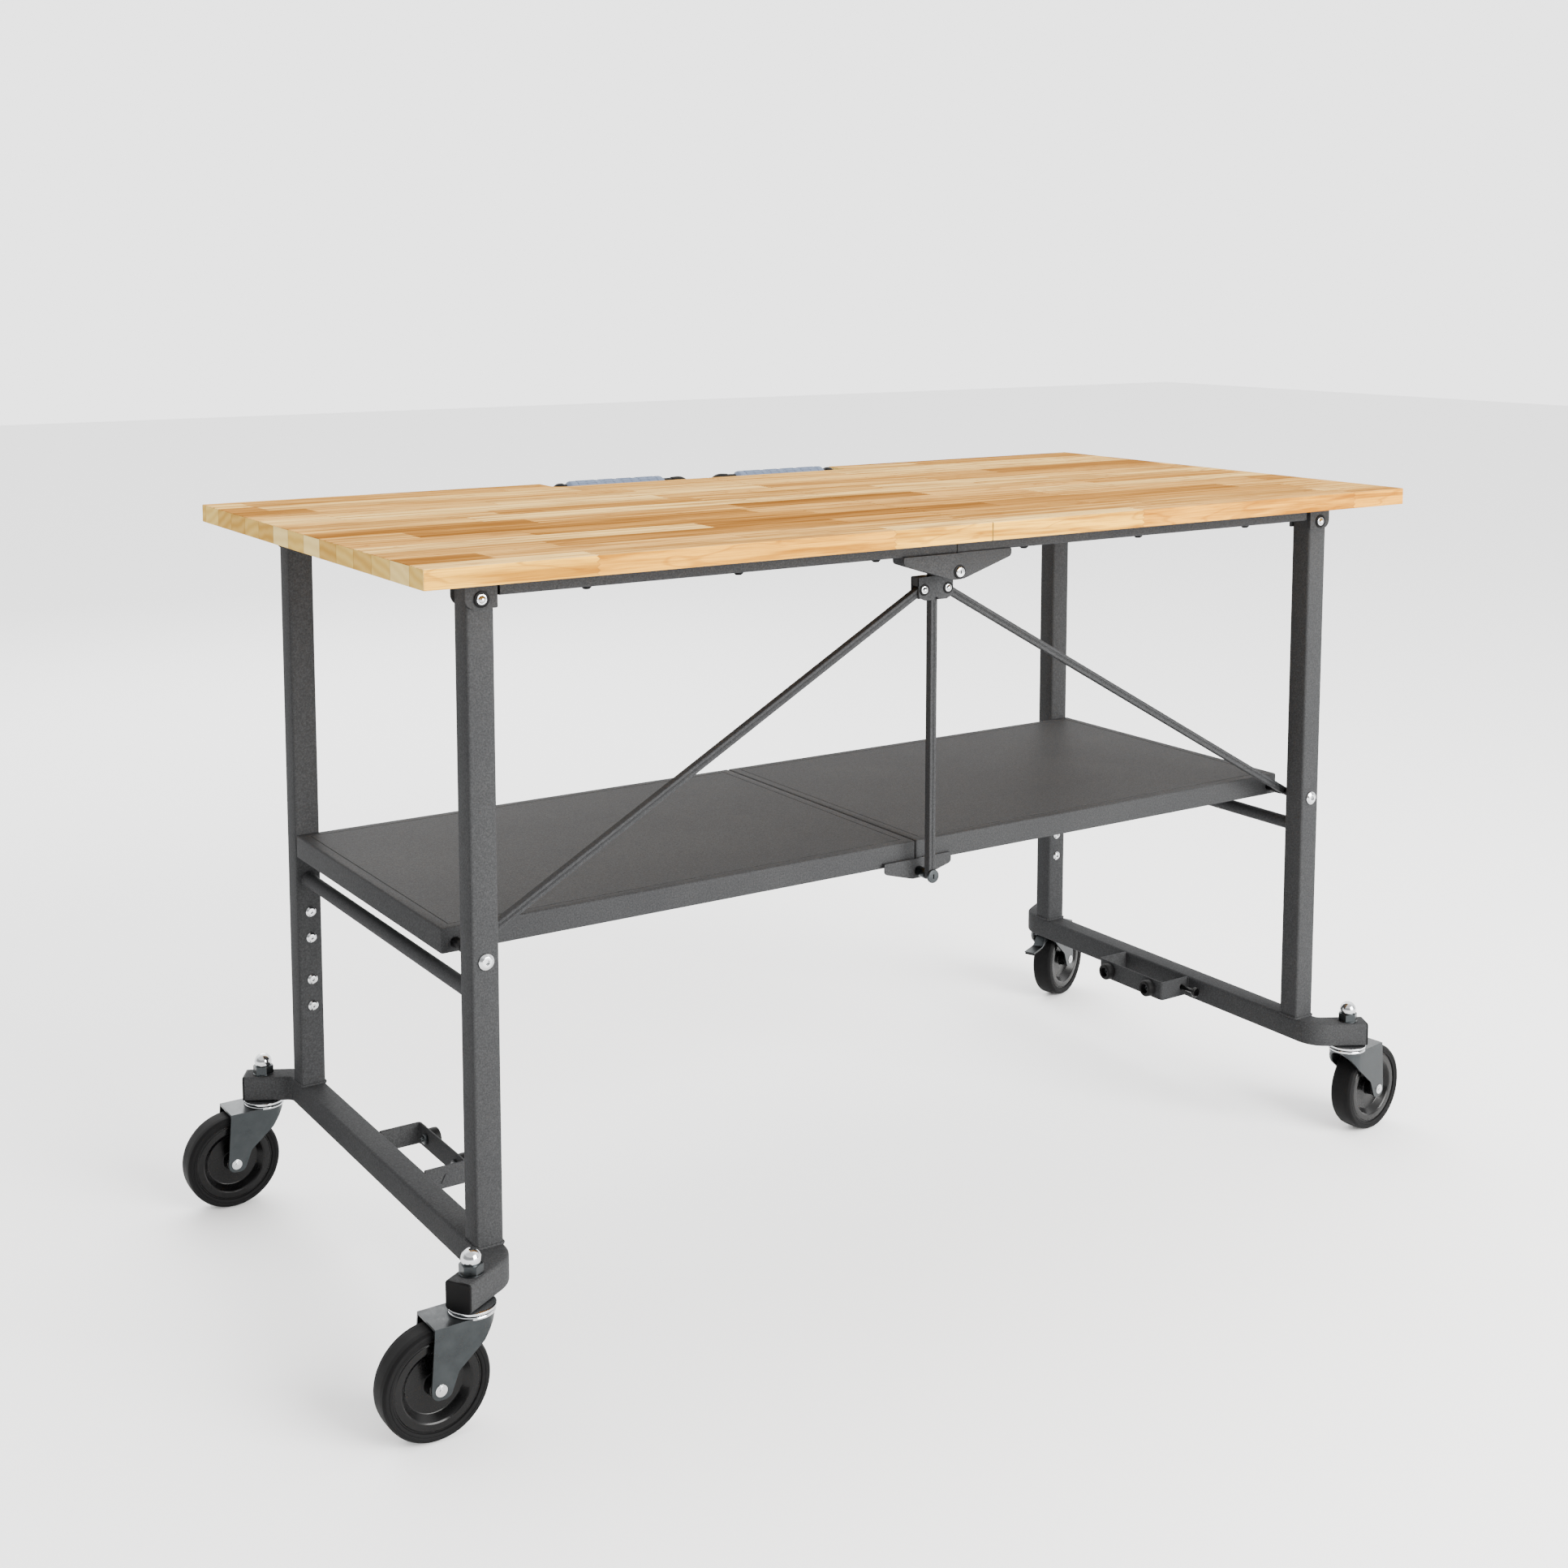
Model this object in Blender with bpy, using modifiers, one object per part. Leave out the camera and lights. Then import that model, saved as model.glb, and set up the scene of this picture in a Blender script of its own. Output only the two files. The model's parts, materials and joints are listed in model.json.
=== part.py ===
"""Folding work platform bench on casters.

Two butcher-block board halves hinge at the middle over two upright leg frames. A two-piece sheet shelf
folds with them, a runner on a centre bar carries two braces, and each frame stands on two swivel casters.

Metres, +Z up, X along the bench, -Y towards its front. The origin is on the floor at the middle of the
footprint. Every moving group hangs from an empty that stands on the group's joint axis.
"""

from math import asin, atan2, cos, hypot, pi, radians, sin, tan

import bmesh
import bpy
from mathutils import Matrix, Vector

# Overall sizes
TOP_HEIGHT = 0.835
BOARD_LENGTH = 1.310
BOARD_DEPTH = 0.637
BOARD_THICKNESS = 0.020
SEAM_GAP = 0.001
NOTCH_LENGTH = 0.222
NOTCH_DEPTH = 0.0455
NOTCH_CORNER = 0.012

# Gap between pieces that touch, and radial room round a pin
TOUCH = 0.0003
PIN_PLAY = 0.0004

# Leg frames
LEG_SECTION = 0.029
LEG_WALL = 0.0015
TUBE_CORNER = 0.0025
LEG_X = 0.5715
LEG_OUTER_Y = 0.2566
LEG_ABOVE_PIVOT = 0.012
BASE_RAIL_TOP = 0.151
BASE_RAIL_SECTION = 0.029
BASE_BEND = radians(60)
BASE_BEND_RADIUS = 0.024
BASE_END_OVERHANG = 0.020
CROSS_BAR_RADIUS = 0.008
CROSS_BAR_DROP = 0.436

# Fold geometry: pivot heights are measured down from the board's upper face
TOP_PIVOT_DROP = 0.042
SHELF_PIVOT_DROP = 0.396
CENTRE_PIN_OFFSET = 0.0185
PIN_RADIUS = 0.003
EYE_RADIUS = 0.0085

# Rails under the boards
RAIL_SECTION = 0.020
RAIL_WALL = 0.0014
RAIL_START = 0.0205
SHEET = 0.002
CLEVIS_PLAY = 0.0008
CLEVIS_REACH_IN = 0.017
CLEVIS_REACH_OUT = 0.0165
CLEVIS_BELOW_PIVOT = 0.0092
CLEVIS_CORNER = 0.009
HINGE_HALF_LENGTH = 0.0755
HINGE_END_HEIGHT = 0.008
HINGE_OUTER_Y = 0.2608
HINGE_DEPTH = 0.021

# Shelf
SHELF_TOP_DROP = 0.3807
SHELF_HALF_LENGTH = 0.586
SHELF_FLANGE = 0.0254
SHELF_SHEET = 0.0012
SHELF_FRONT_Y = -0.1845
SHELF_REAR_GAP = 0.0013
SHELF_HINGE_HALF_LENGTH = 0.048
SHELF_HINGE_STANDOFF = 0.006

# Centre bar, runner and braces
LINK_WIDTH = 0.009
LINK_Y = -0.2117
RUNNER_WIDTH = 0.048
RUNNER_DEPTH = 0.015
RUNNER_HEIGHT = 0.0267
RUNNER_PIN_X = 0.0165
RUNNER_PIN_DROP = 0.0847
RUNNER_TOP_DROP = 0.0702

# Handles on the rear edge
GRIP_INNER_X = 0.048
GRIP_LENGTH = 0.156
GRIP_RADIUS = 0.0135
GRIP_Y = 0.295
GRIP_Z_DROP = 0.0095
BOW_RADIUS = 0.005
BOW_INNER_X = 0.0170
BOW_OUTER_X = 0.2155
BOW_FOOT_DROP = 0.029

# Casters
STEM_X = 0.6096
STEM_Y = 0.295
STEM_RADIUS = 0.006
TRAIL = 0.042
WHEEL_RADIUS = 0.0555
TYRE_HALF_WIDTH = 0.0145
CORE_RADIUS = 0.0452
AXLE_RADIUS = 0.004
FORK_HALF_WIDTH = 0.0215
FORK_SHEET = 0.0022
FORK_TOP = 0.1165
RACE_RADIUS = 0.0235
HEADINGS = {
    ("left", "front"): radians(180),
    ("left", "rear"): radians(180),
    ("right", "front"): radians(7),
    ("right", "rear"): radians(22),
}

# Latch brackets between the frames, with their bumpers
BRACKET_REACH = 0.0480
BRACKET_HALF_SPAN = 0.062
BRACKET_HEIGHT = 0.025
BUMPER_Y = 0.040
BUMPER_RADIUS = 0.011
BUMPER_LENGTH = 0.012
LATCH_PIN_INSET = 0.011

SIDES = {"left": -1, "right": 1}
ENDS = {"front": -1, "rear": 1}

PIVOT_Z = TOP_HEIGHT - TOP_PIVOT_DROP
SHELF_PIVOT_Z = TOP_HEIGHT - SHELF_PIVOT_DROP
CENTRE_PIN_Z = PIVOT_Z - CENTRE_PIN_OFFSET
SHELF_PIN_Z = SHELF_PIVOT_Z - CENTRE_PIN_OFFSET
BOARD_UNDERSIDE = TOP_HEIGHT - BOARD_THICKNESS
RAIL_TOP = BOARD_UNDERSIDE - TOUCH
RAIL_BOTTOM = RAIL_TOP - RAIL_SECTION
LEG_Y = LEG_OUTER_Y - LEG_SECTION / 2
LEG_INNER_Y = LEG_OUTER_Y - LEG_SECTION
SHELF_REAR_Y = LEG_INNER_Y - SHELF_REAR_GAP
RUNNER_PIN_Z = TOP_HEIGHT - RUNNER_PIN_DROP
HOLE_RADIUS = PIN_RADIUS + PIN_PLAY
BASE_RAIL_BOTTOM = BASE_RAIL_TOP - BASE_RAIL_SECTION
LATCH_Z = BASE_RAIL_TOP - BRACKET_HEIGHT / 2

POWDER_GREY = ("powder_grey", (0.115, 0.116, 0.120), 0.48, 0.15)
BUTCHER_BLOCK = ("butcher_block", (0.62, 0.41, 0.22), 0.42, 0.0)
ZINC = ("zinc", (0.62, 0.65, 0.67), 0.28, 1.0)
BLACK_PLASTIC = ("black_plastic", (0.018, 0.018, 0.019), 0.30, 0.0)
TYRE_RUBBER = ("tyre_rubber", (0.045, 0.045, 0.047), 0.62, 0.0)
GRIP_RUBBER = ("grip_rubber", (0.25, 0.31, 0.40), 0.55, 0.0)
BUMPER_RUBBER = ("bumper_rubber", (0.022, 0.022, 0.023), 0.58, 0.0)


def clear_scene():
    """Remove every object that the startup scene holds."""
    for obj in list(bpy.data.objects):
        bpy.data.objects.remove(obj, do_unlink=True)


def finish(spec):
    """Return the Principled material of a (name, colour, roughness, metallic) row."""
    name, colour, roughness, metallic = spec
    found = bpy.data.materials.get(name)
    if found:
        return found
    made = bpy.data.materials.new(name)
    made.use_nodes = True
    shader = made.node_tree.nodes["Principled BSDF"]
    shader.inputs["Base Color"].default_value = (*colour, 1.0)
    shader.inputs["Roughness"].default_value = roughness
    shader.inputs["Metallic"].default_value = metallic
    return made


# Shape tools: each returns a mesh object in bench coordinates


def mesh_object(name, mesh):
    """Link a mesh into the scene as an object."""
    obj = bpy.data.objects.new(name, mesh)
    bpy.context.scene.collection.objects.link(obj)
    return obj


def baked(obj):
    """Apply an object's modifiers, or a curve's fill, and return it as one welded mesh object."""
    bpy.context.view_layer.update()
    mesh = bpy.data.meshes.new_from_object(obj.evaluated_get(bpy.context.evaluated_depsgraph_get()))
    bm = bmesh.new()
    bm.from_mesh(mesh)
    bmesh.ops.remove_doubles(bm, verts=bm.verts, dist=1e-6)
    bm.to_mesh(mesh)
    bm.free()
    name, place = obj.name, obj.matrix_world.copy()
    bpy.data.objects.remove(obj, do_unlink=True)
    result = mesh_object(name, mesh)
    result.matrix_world = place
    return result


def combined(body, *steps):
    """Run Boolean steps, each an (operation, tool object) pair, and return the result."""
    for operation, tool in steps:
        change = body.modifiers.new(operation.lower(), "BOOLEAN")
        change.operation = operation
        change.solver = "EXACT"
        change.object = tool
    result = baked(body)
    for _, tool in steps:
        bpy.data.objects.remove(tool, do_unlink=True)
    return result


def box(name, low, high):
    """A box between two corners."""
    bm = bmesh.new()
    size = Vector(high) - Vector(low)
    middle = (Vector(high) + Vector(low)) / 2
    bmesh.ops.create_cube(bm, matrix=Matrix.Translation(middle) @ Matrix.Diagonal((*size, 1)))
    mesh = bpy.data.meshes.new(name)
    bm.to_mesh(mesh)
    bm.free()
    return mesh_object(name, mesh)


def turn_to(direction):
    """The rotation that takes +Z to a direction."""
    return Vector((0, 0, 1)).rotation_difference(Vector(direction)).to_matrix().to_4x4()


def rod(name, start, end, radius, segments=16):
    """A plain cylinder between two points."""
    start, end = Vector(start), Vector(end)
    length = (end - start).length
    place = Matrix.Translation((start + end) / 2) @ turn_to(end - start)
    bm = bmesh.new()
    bmesh.ops.create_cone(
        bm, cap_ends=True, segments=segments, radius1=radius, radius2=radius, depth=length, matrix=place
    )
    mesh = bpy.data.meshes.new(name)
    bm.to_mesh(mesh)
    bm.free()
    return mesh_object(name, mesh)


def arc(centre, radius, start, end, steps):
    """Points along an arc, both ends included."""
    angles = [start + (end - start) * step / steps for step in range(steps + 1)]
    return [(centre[0] + radius * cos(a), centre[1] + radius * sin(a)) for a in angles]


def rounded(corners, steps=3):
    """An outline whose corners, given as (x, y, radius), are filleted."""
    points = []
    for index, (x, y, radius) in enumerate(corners):
        if not radius:
            points.append((x, y))
            continue
        here = Vector((x, y))
        back = (Vector(corners[index - 1][:2]) - here).normalized()
        ahead = (Vector(corners[(index + 1) % len(corners)][:2]) - here).normalized()
        half = back.angle(ahead) / 2
        centre = here + (back + ahead).normalized() * radius / sin(half)
        first = here + back * radius / tan(half) - centre
        last = here + ahead * radius / tan(half) - centre
        start = atan2(first.y, first.x)
        sweep = (atan2(last.y, last.x) - start + pi) % (2 * pi) - pi
        points += arc(centre, radius, start, start + sweep, steps)
    return points


def plate(name, outline, low, high, holes=(), facing="Z"):
    """A flat piece from an outline, between two heights along Z, or between two Y values when it faces Y.

    An outline that faces Y is given as X and Z. Holes are (x, y, radius) in the outline's plane.
    """
    curve = bpy.data.curves.new(name, "CURVE")
    curve.dimensions = "2D"
    curve.fill_mode = "BOTH"
    curve.extrude = (high - low) / 2
    rings = [outline] + [arc(hole[:2], hole[2], 0, 2 * pi * 11 / 12, 11) for hole in holes]
    for ring in rings:
        spline = curve.splines.new("POLY")
        spline.points.add(len(ring) - 1)
        for point, place in zip(spline.points, ring):
            point.co = (place[0], place[1], 0, 1)
        spline.use_cyclic_u = True
    obj = bpy.data.objects.new(name, curve)
    bpy.context.scene.collection.objects.link(obj)
    result = baked(obj)
    middle = (low + high) / 2
    if facing == "Y":
        result.data.transform(Matrix.Translation((0, middle, 0)) @ Matrix.Rotation(pi / 2, 4, "X"))
    else:
        result.data.transform(Matrix.Translation((0, 0, middle)))
    return result


def turned(name, profile, at, towards, steps=20, ring=False):
    """A turned solid: the profile is (radius, height) points from the end that faces `towards` to the other."""
    mesh = bpy.data.meshes.new(name)
    bm = bmesh.new()
    verts = [bm.verts.new((radius, 0, height)) for radius, height in profile]
    pairs = list(zip(verts, verts[1:])) + ([(verts[-1], verts[0])] if ring else [])
    for pair in pairs:
        bm.edges.new(pair)
    bm.to_mesh(mesh)
    bm.free()
    obj = mesh_object(name, mesh)
    screw = obj.modifiers.new("turn", "SCREW")
    screw.steps = screw.render_steps = steps
    screw.use_merge_vertices = True
    screw.merge_threshold = 1e-5
    result = baked(obj)
    result.data.transform(Matrix.Translation(at) @ turn_to(towards))
    return result


def stepped_pin(name, stations, at, towards, steps=12):
    """A pin from (radius, length) stations, starting at the head's outer face, which faces `towards`."""
    profile, height = [(0, 0)], 0
    for radius, length in stations:
        profile += [(radius, height), (radius, height - length)]
        height -= length
    return turned(name, profile + [(0, height)], at, towards, steps)


def square_tube(name, stops, section, wall, bend_radius=0.0, bend_steps=4):
    """A square tube along points in the XY plane, with bends between its straight runs."""
    stops = [Vector((*stop, 0)) for stop in stops]
    headings = [(b - a).normalized() for a, b in zip(stops, stops[1:])]
    across = Vector((-headings[0].y, headings[0].x, 0))
    half = section / 2
    ring = rounded([(half, half, TUBE_CORNER), (-half, half, TUBE_CORNER),
                    (-half, -half, TUBE_CORNER), (half, -half, TUBE_CORNER)], steps=1)
    bm = bmesh.new()
    verts = [bm.verts.new(stops[0] + across * a + Vector((0, 0, b))) for a, b in ring]
    edges = [bm.edges.new(pair) for pair in zip(verts, verts[1:] + verts[:1])]
    taken = 0.0
    for index, heading in enumerate(headings):
        turn = 0.0
        if index + 1 < len(headings):
            turn = heading.to_2d().angle_signed(headings[index + 1].to_2d()) * -1
        tangent = bend_radius * tan(abs(turn) / 2)
        run = (stops[index + 1] - stops[index]).length - taken - tangent
        grown = bmesh.ops.extrude_edge_only(bm, edges=edges)["geom"]
        moved = [item for item in grown if isinstance(item, bmesh.types.BMVert)]
        bmesh.ops.translate(bm, verts=moved, vec=heading * run)
        edges = [item for item in grown if isinstance(item, bmesh.types.BMEdge)]
        edges = [edge for edge in edges if len(edge.link_faces) == 1]
        edges = [edge for edge in edges if all(vert in moved for vert in edge.verts)]
        taken = tangent
        if turn:
            inward = Vector((-heading.y, heading.x, 0)) * (1 if turn > 0 else -1)
            centre = stops[index + 1] - heading * tangent + inward * bend_radius
            swept = bmesh.ops.spin(
                bm, geom=edges, cent=centre, axis=(0, 0, 1), angle=turn, steps=bend_steps, use_duplicate=False
            )
            edges = [item for item in swept["geom_last"] if isinstance(item, bmesh.types.BMEdge)]
    bmesh.ops.remove_doubles(bm, verts=bm.verts, dist=1e-6)
    bmesh.ops.recalc_face_normals(bm, faces=bm.faces)
    mesh = bpy.data.meshes.new(name)
    bm.to_mesh(mesh)
    bm.free()
    obj = mesh_object(name, mesh)
    shell = obj.modifiers.new("wall", "SOLIDIFY")
    shell.thickness = wall
    shell.offset = -1
    shell.use_even_offset = True
    return baked(obj)


# Pieces of the two board halves


def board(name, side):
    """One half of the top, with its share of the handle notch in the rear edge at the seam."""
    seam, outer = side * SEAM_GAP / 2, side * BOARD_LENGTH / 2
    front, rear = -BOARD_DEPTH / 2, BOARD_DEPTH / 2
    notch_x, notch_y = side * NOTCH_LENGTH, rear - NOTCH_DEPTH
    outline = rounded([
        (seam, front, 0), (outer, front, 0), (outer, rear, 0),
        (notch_x, rear, 0.003), (notch_x, notch_y, NOTCH_CORNER), (seam, notch_y, 0),
    ])
    return plate(name, outline, BOARD_UNDERSIDE, TOP_HEIGHT)


def hinge_cheek(name, side, pin_z, half_length, end_height, top_z, y_low, y_high):
    """A tapered hinge cheek from the pin's eye out along its own half."""
    outline = rounded([
        (-side * EYE_RADIUS, pin_z - EYE_RADIUS, EYE_RADIUS * 0.8),
        (side * EYE_RADIUS, pin_z - EYE_RADIUS, EYE_RADIUS * 0.8),
        (side * half_length, top_z - end_height, end_height * 0.35),
        (side * half_length, top_z, 0),
        (side * 0.001, top_z, 0),
        (-side * EYE_RADIUS, pin_z + 0.002, 0.004),
    ])
    return plate(name, outline, min(y_low, y_high), max(y_low, y_high), [(0, pin_z, HOLE_RADIUS)], "Y")


def rail(name, side, end):
    """A rail under one board half, with the leg clevis at its outer end and the hinge channel at the seam."""
    start, stop = side * (LEG_X - RAIL_START), side * SEAM_GAP / 2
    tube = square_tube(name, [(start, 0), (stop, 0)], RAIL_SECTION, RAIL_WALL)
    rail_y = end * (LEG_OUTER_Y - RAIL_SECTION / 2)
    tube.data.transform(Matrix.Translation((0, rail_y, (RAIL_TOP + RAIL_BOTTOM) / 2)))

    # Clevis round the leg's top
    outer_face = end * (LEG_OUTER_Y + CLEVIS_PLAY)
    inner_face = end * (LEG_INNER_Y - CLEVIS_PLAY)
    low_z, high_z = PIVOT_Z - CLEVIS_BELOW_PIVOT, RAIL_TOP - TOUCH
    in_x, out_x = side * (LEG_X - CLEVIS_REACH_IN), side * (LEG_X + CLEVIS_REACH_OUT)
    outline = rounded([
        (in_x, high_z, 0), (in_x, low_z, 0.002), (out_x, low_z, CLEVIS_CORNER), (out_x, high_z, 0.002)
    ])
    pivot_hole = [(side * LEG_X, PIVOT_Z, HOLE_RADIUS)]
    steps = []
    for face, away in ((outer_face, end), (inner_face, -end)):
        far = face + away * SHEET
        steps.append(("UNION", plate("cheek", outline, min(face, far), max(face, far), pivot_hole, "Y")))
    web_ends = sorted((side * (LEG_X - RAIL_START - 0.012), out_x))
    web_y = sorted((outer_face + end * SHEET * 0.9, inner_face - end * SHEET * 0.9))
    web = box("web", (web_ends[0], web_y[0], high_z - SHEET), (web_ends[1], web_y[1], high_z - 0.0001))
    steps.append(("UNION", web))

    # Hinge channel at the seam: the right half's cheeks stand inside the left half's
    inset = 0.0 if side < 0 else SHEET + TOUCH
    channel_outer = end * (HINGE_OUTER_Y - inset)
    channel_inner = end * (HINGE_OUTER_Y - HINGE_DEPTH + inset)
    cheek_top = RAIL_BOTTOM + 0.0008
    for face, away in ((channel_outer, -end), (channel_inner, end)):
        steps.append(("UNION", hinge_cheek(
            "cheek", side, CENTRE_PIN_Z, HINGE_HALF_LENGTH, HINGE_END_HEIGHT, cheek_top, face, face + away * SHEET
        )))
    roof_x = sorted((side * HINGE_HALF_LENGTH, side * SEAM_GAP / 2))
    roof_y = sorted((channel_outer, channel_inner))
    roof = box("roof", (roof_x[0], roof_y[0] + 0.0002, cheek_top - 0.0016),
               (roof_x[1], roof_y[1] - 0.0002, cheek_top - 0.0002))
    steps.append(("UNION", roof))
    return combined(tube, *steps)


def top_pivot_bolt(name, side, end):
    """The bolt that joins a leg to its clevis, head outwards."""
    stack = LEG_SECTION + 2 * (CLEVIS_PLAY + SHEET + TOUCH)
    stations = [(0.0045, 0.0012), (0.0075, 0.0028), (PIN_RADIUS, stack), (0.0055, 0.0040)]
    head = end * (LEG_OUTER_Y + CLEVIS_PLAY + SHEET + TOUCH + 0.0040)
    return stepped_pin(name, stations, (side * LEG_X, head, PIVOT_Z), (0, end, 0))


def top_hinge_pin(name, end):
    """The pin through one hinge channel. The front one runs on through the centre bar's eye."""
    head_face = HINGE_OUTER_Y + TOUCH
    channel_end = HINGE_OUTER_Y - HINGE_DEPTH - TOUCH
    stations = [(0.0060, 0.0010), (0.0095, 0.0016), (PIN_RADIUS, head_face - channel_end)]
    if end < 0:
        bar_face = -LINK_Y + LINK_WIDTH / 2 + TOUCH
        stations += [(EYE_RADIUS * 0.7, channel_end - bar_face), (PIN_RADIUS, LINK_WIDTH + 2 * TOUCH)]
    stations.append((0.0055, 0.0035))
    return stepped_pin(name, stations, (0, end * (head_face + 0.0026), CENTRE_PIN_Z), (0, end, 0))


def handle_path(side):
    """The bow's centre line: out from the rear rail, up into the notch, along the grip and back."""
    z_grip, z_foot = TOP_HEIGHT - GRIP_Z_DROP, TOP_HEIGHT - BOW_FOOT_DROP
    rise = z_grip - z_foot
    foot_y = LEG_OUTER_Y + TOUCH
    half_bow = [
        (0, foot_y, z_foot), (0, GRIP_Y - 0.011, z_foot), (0, GRIP_Y - 0.0025, z_foot + rise * 0.18),
        (0.0005, GRIP_Y, z_foot + rise * 0.48), (0.004, GRIP_Y, z_foot + rise * 0.84),
        (0.011, GRIP_Y, z_grip), (0.020, GRIP_Y, z_grip),
    ]
    near = [(BOW_INNER_X + x, y, z) for x, y, z in half_bow]
    far = [(BOW_OUTER_X - x * 0.6, y, z) for x, y, z in reversed(half_bow)]
    return [(side * x, y, z) for x, y, z in near + far]


def handle_bow(name, side):
    """The bent rod that carries a grip."""
    curve = bpy.data.curves.new(name, "CURVE")
    curve.dimensions = "3D"
    curve.bevel_depth = BOW_RADIUS
    curve.bevel_resolution = 2
    curve.use_fill_caps = True
    points = handle_path(side)
    spline = curve.splines.new("POLY")
    spline.points.add(len(points) - 1)
    for point, place in zip(spline.points, points):
        point.co = (*place, 1)
    obj = bpy.data.objects.new(name, curve)
    bpy.context.scene.collection.objects.link(obj)
    return baked(obj)


def handle_grip(name, side):
    """The rubber sleeve round the straight stretch of a bow."""
    half, bore = GRIP_LENGTH / 2 - 0.007, BOW_RADIUS + PIN_PLAY
    profile = [
        (bore, half), (GRIP_RADIUS * 0.82, half), (GRIP_RADIUS, half - 0.004),
        (GRIP_RADIUS, -half + 0.004), (GRIP_RADIUS * 0.82, -half), (bore, -half),
    ]
    middle = side * (GRIP_INNER_X + GRIP_LENGTH / 2)
    return turned(name, profile, (middle, GRIP_Y, TOP_HEIGHT - GRIP_Z_DROP), (1, 0, 0), 16, ring=True)


# Pieces of the leg frames


def leg(name, side, end):
    """An upright square tube, drilled for its two pivot bolts."""
    low, high = BASE_RAIL_TOP + TOUCH, PIVOT_Z + LEG_ABOVE_PIVOT
    tube = square_tube(name, [(0, low), (0, high)], LEG_SECTION, LEG_WALL)
    tube.data.transform(
        Matrix.Translation((side * LEG_X, end * LEG_Y, 0)) @ Matrix.Rotation(pi / 2, 4, "X")
    )
    reach = LEG_SECTION
    drills = [
        ("DIFFERENCE", rod("drill", (side * LEG_X, end * LEG_Y - reach, z),
                           (side * LEG_X, end * LEG_Y + reach, z), HOLE_RADIUS, 12))
        for z in (PIVOT_Z, SHELF_PIVOT_Z)
    ]
    return combined(tube, *drills)


def base_rail(name, side):
    """The floor rail of one frame: straight under the legs, both ends bent outwards to the casters."""
    slope = (STEM_X - LEG_X) / sin(BASE_BEND)
    corner_y = STEM_Y - slope * cos(BASE_BEND)
    end_x = STEM_X + BASE_END_OVERHANG * sin(BASE_BEND)
    end_y = STEM_Y + BASE_END_OVERHANG * cos(BASE_BEND)
    stops = [
        (side * end_x, -end_y), (side * LEG_X, -corner_y), (side * LEG_X, corner_y), (side * end_x, end_y)
    ]
    tube = square_tube(name, stops, BASE_RAIL_SECTION, LEG_WALL, BASE_BEND_RADIUS)
    tube.data.transform(Matrix.Translation((0, 0, BASE_RAIL_TOP - BASE_RAIL_SECTION / 2)))
    drills = [
        ("DIFFERENCE", rod("drill", (side * STEM_X, end * STEM_Y, BASE_RAIL_BOTTOM - 0.01),
                           (side * STEM_X, end * STEM_Y, BASE_RAIL_TOP + 0.01), STEM_RADIUS + PIN_PLAY))
        for end in ENDS.values()
    ]
    return combined(tube, *drills)


def cross_bar(name, side):
    """The round bar between a frame's two legs, below the shelf."""
    z = TOP_HEIGHT - CROSS_BAR_DROP
    reach = LEG_INNER_Y - TOUCH
    return rod(name, (side * LEG_X, -reach, z), (side * LEG_X, reach, z), CROSS_BAR_RADIUS, 16)


def latch_bracket(name, side):
    """The U-shaped strap on a base rail's inner face. The right one is drilled for the latch pin."""
    wall_x = side * (LEG_X - BASE_RAIL_SECTION / 2 - TOUCH)
    face_x = wall_x - side * BRACKET_REACH
    xs, inner_xs = sorted((wall_x, face_x)), sorted((wall_x + side * 0.01, face_x + side * SHEET))
    span, low, high = BRACKET_HALF_SPAN, BASE_RAIL_TOP - BRACKET_HEIGHT, BASE_RAIL_TOP
    strap = box(name, (xs[0], -span, low), (xs[1], span, high))
    hollow = box("hollow", (inner_xs[0], -span + SHEET, low - 0.01), (inner_xs[1], span - SHEET, high + 0.01))
    steps = [("DIFFERENCE", hollow)]
    if side > 0:
        x = wall_x - LATCH_PIN_INSET
        steps.append(("DIFFERENCE", rod("drill", (x, -span - 0.01, LATCH_Z), (x, -span + 0.01, LATCH_Z),
                                        HOLE_RADIUS, 12)))
    return combined(strap, *steps)


def bumper(name, side, end):
    """A cup-shaped rubber bumper on a latch bracket, its mouth towards the other frame."""
    base_x = side * (LEG_X - BASE_RAIL_SECTION / 2 - BRACKET_REACH - 2 * TOUCH)
    profile = [
        (0, 0.0035 - BUMPER_LENGTH), (0.0062, 0.0035 - BUMPER_LENGTH), (0.0062, 0),
        (BUMPER_RADIUS - 0.001, 0), (BUMPER_RADIUS, -0.0012), (BUMPER_RADIUS, -BUMPER_LENGTH), (0, -BUMPER_LENGTH),
    ]
    at = (base_x - side * BUMPER_LENGTH, end * BUMPER_Y, LATCH_Z)
    return turned(name, profile, at, (-side, 0, 0), 16)


def latch_pin(name):
    """The pull pin with a round head through the right bracket's front arm."""
    x = LEG_X - BASE_RAIL_SECTION / 2 - TOUCH - LATCH_PIN_INSET
    stations = [(0.0060, 0.0035), (PIN_RADIUS, 0.0400)]
    return stepped_pin(name, stations, (x, -BRACKET_HALF_SPAN - 0.0280, LATCH_Z), (0, -1, 0))


# Shelf, centre bar, runner and braces


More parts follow.
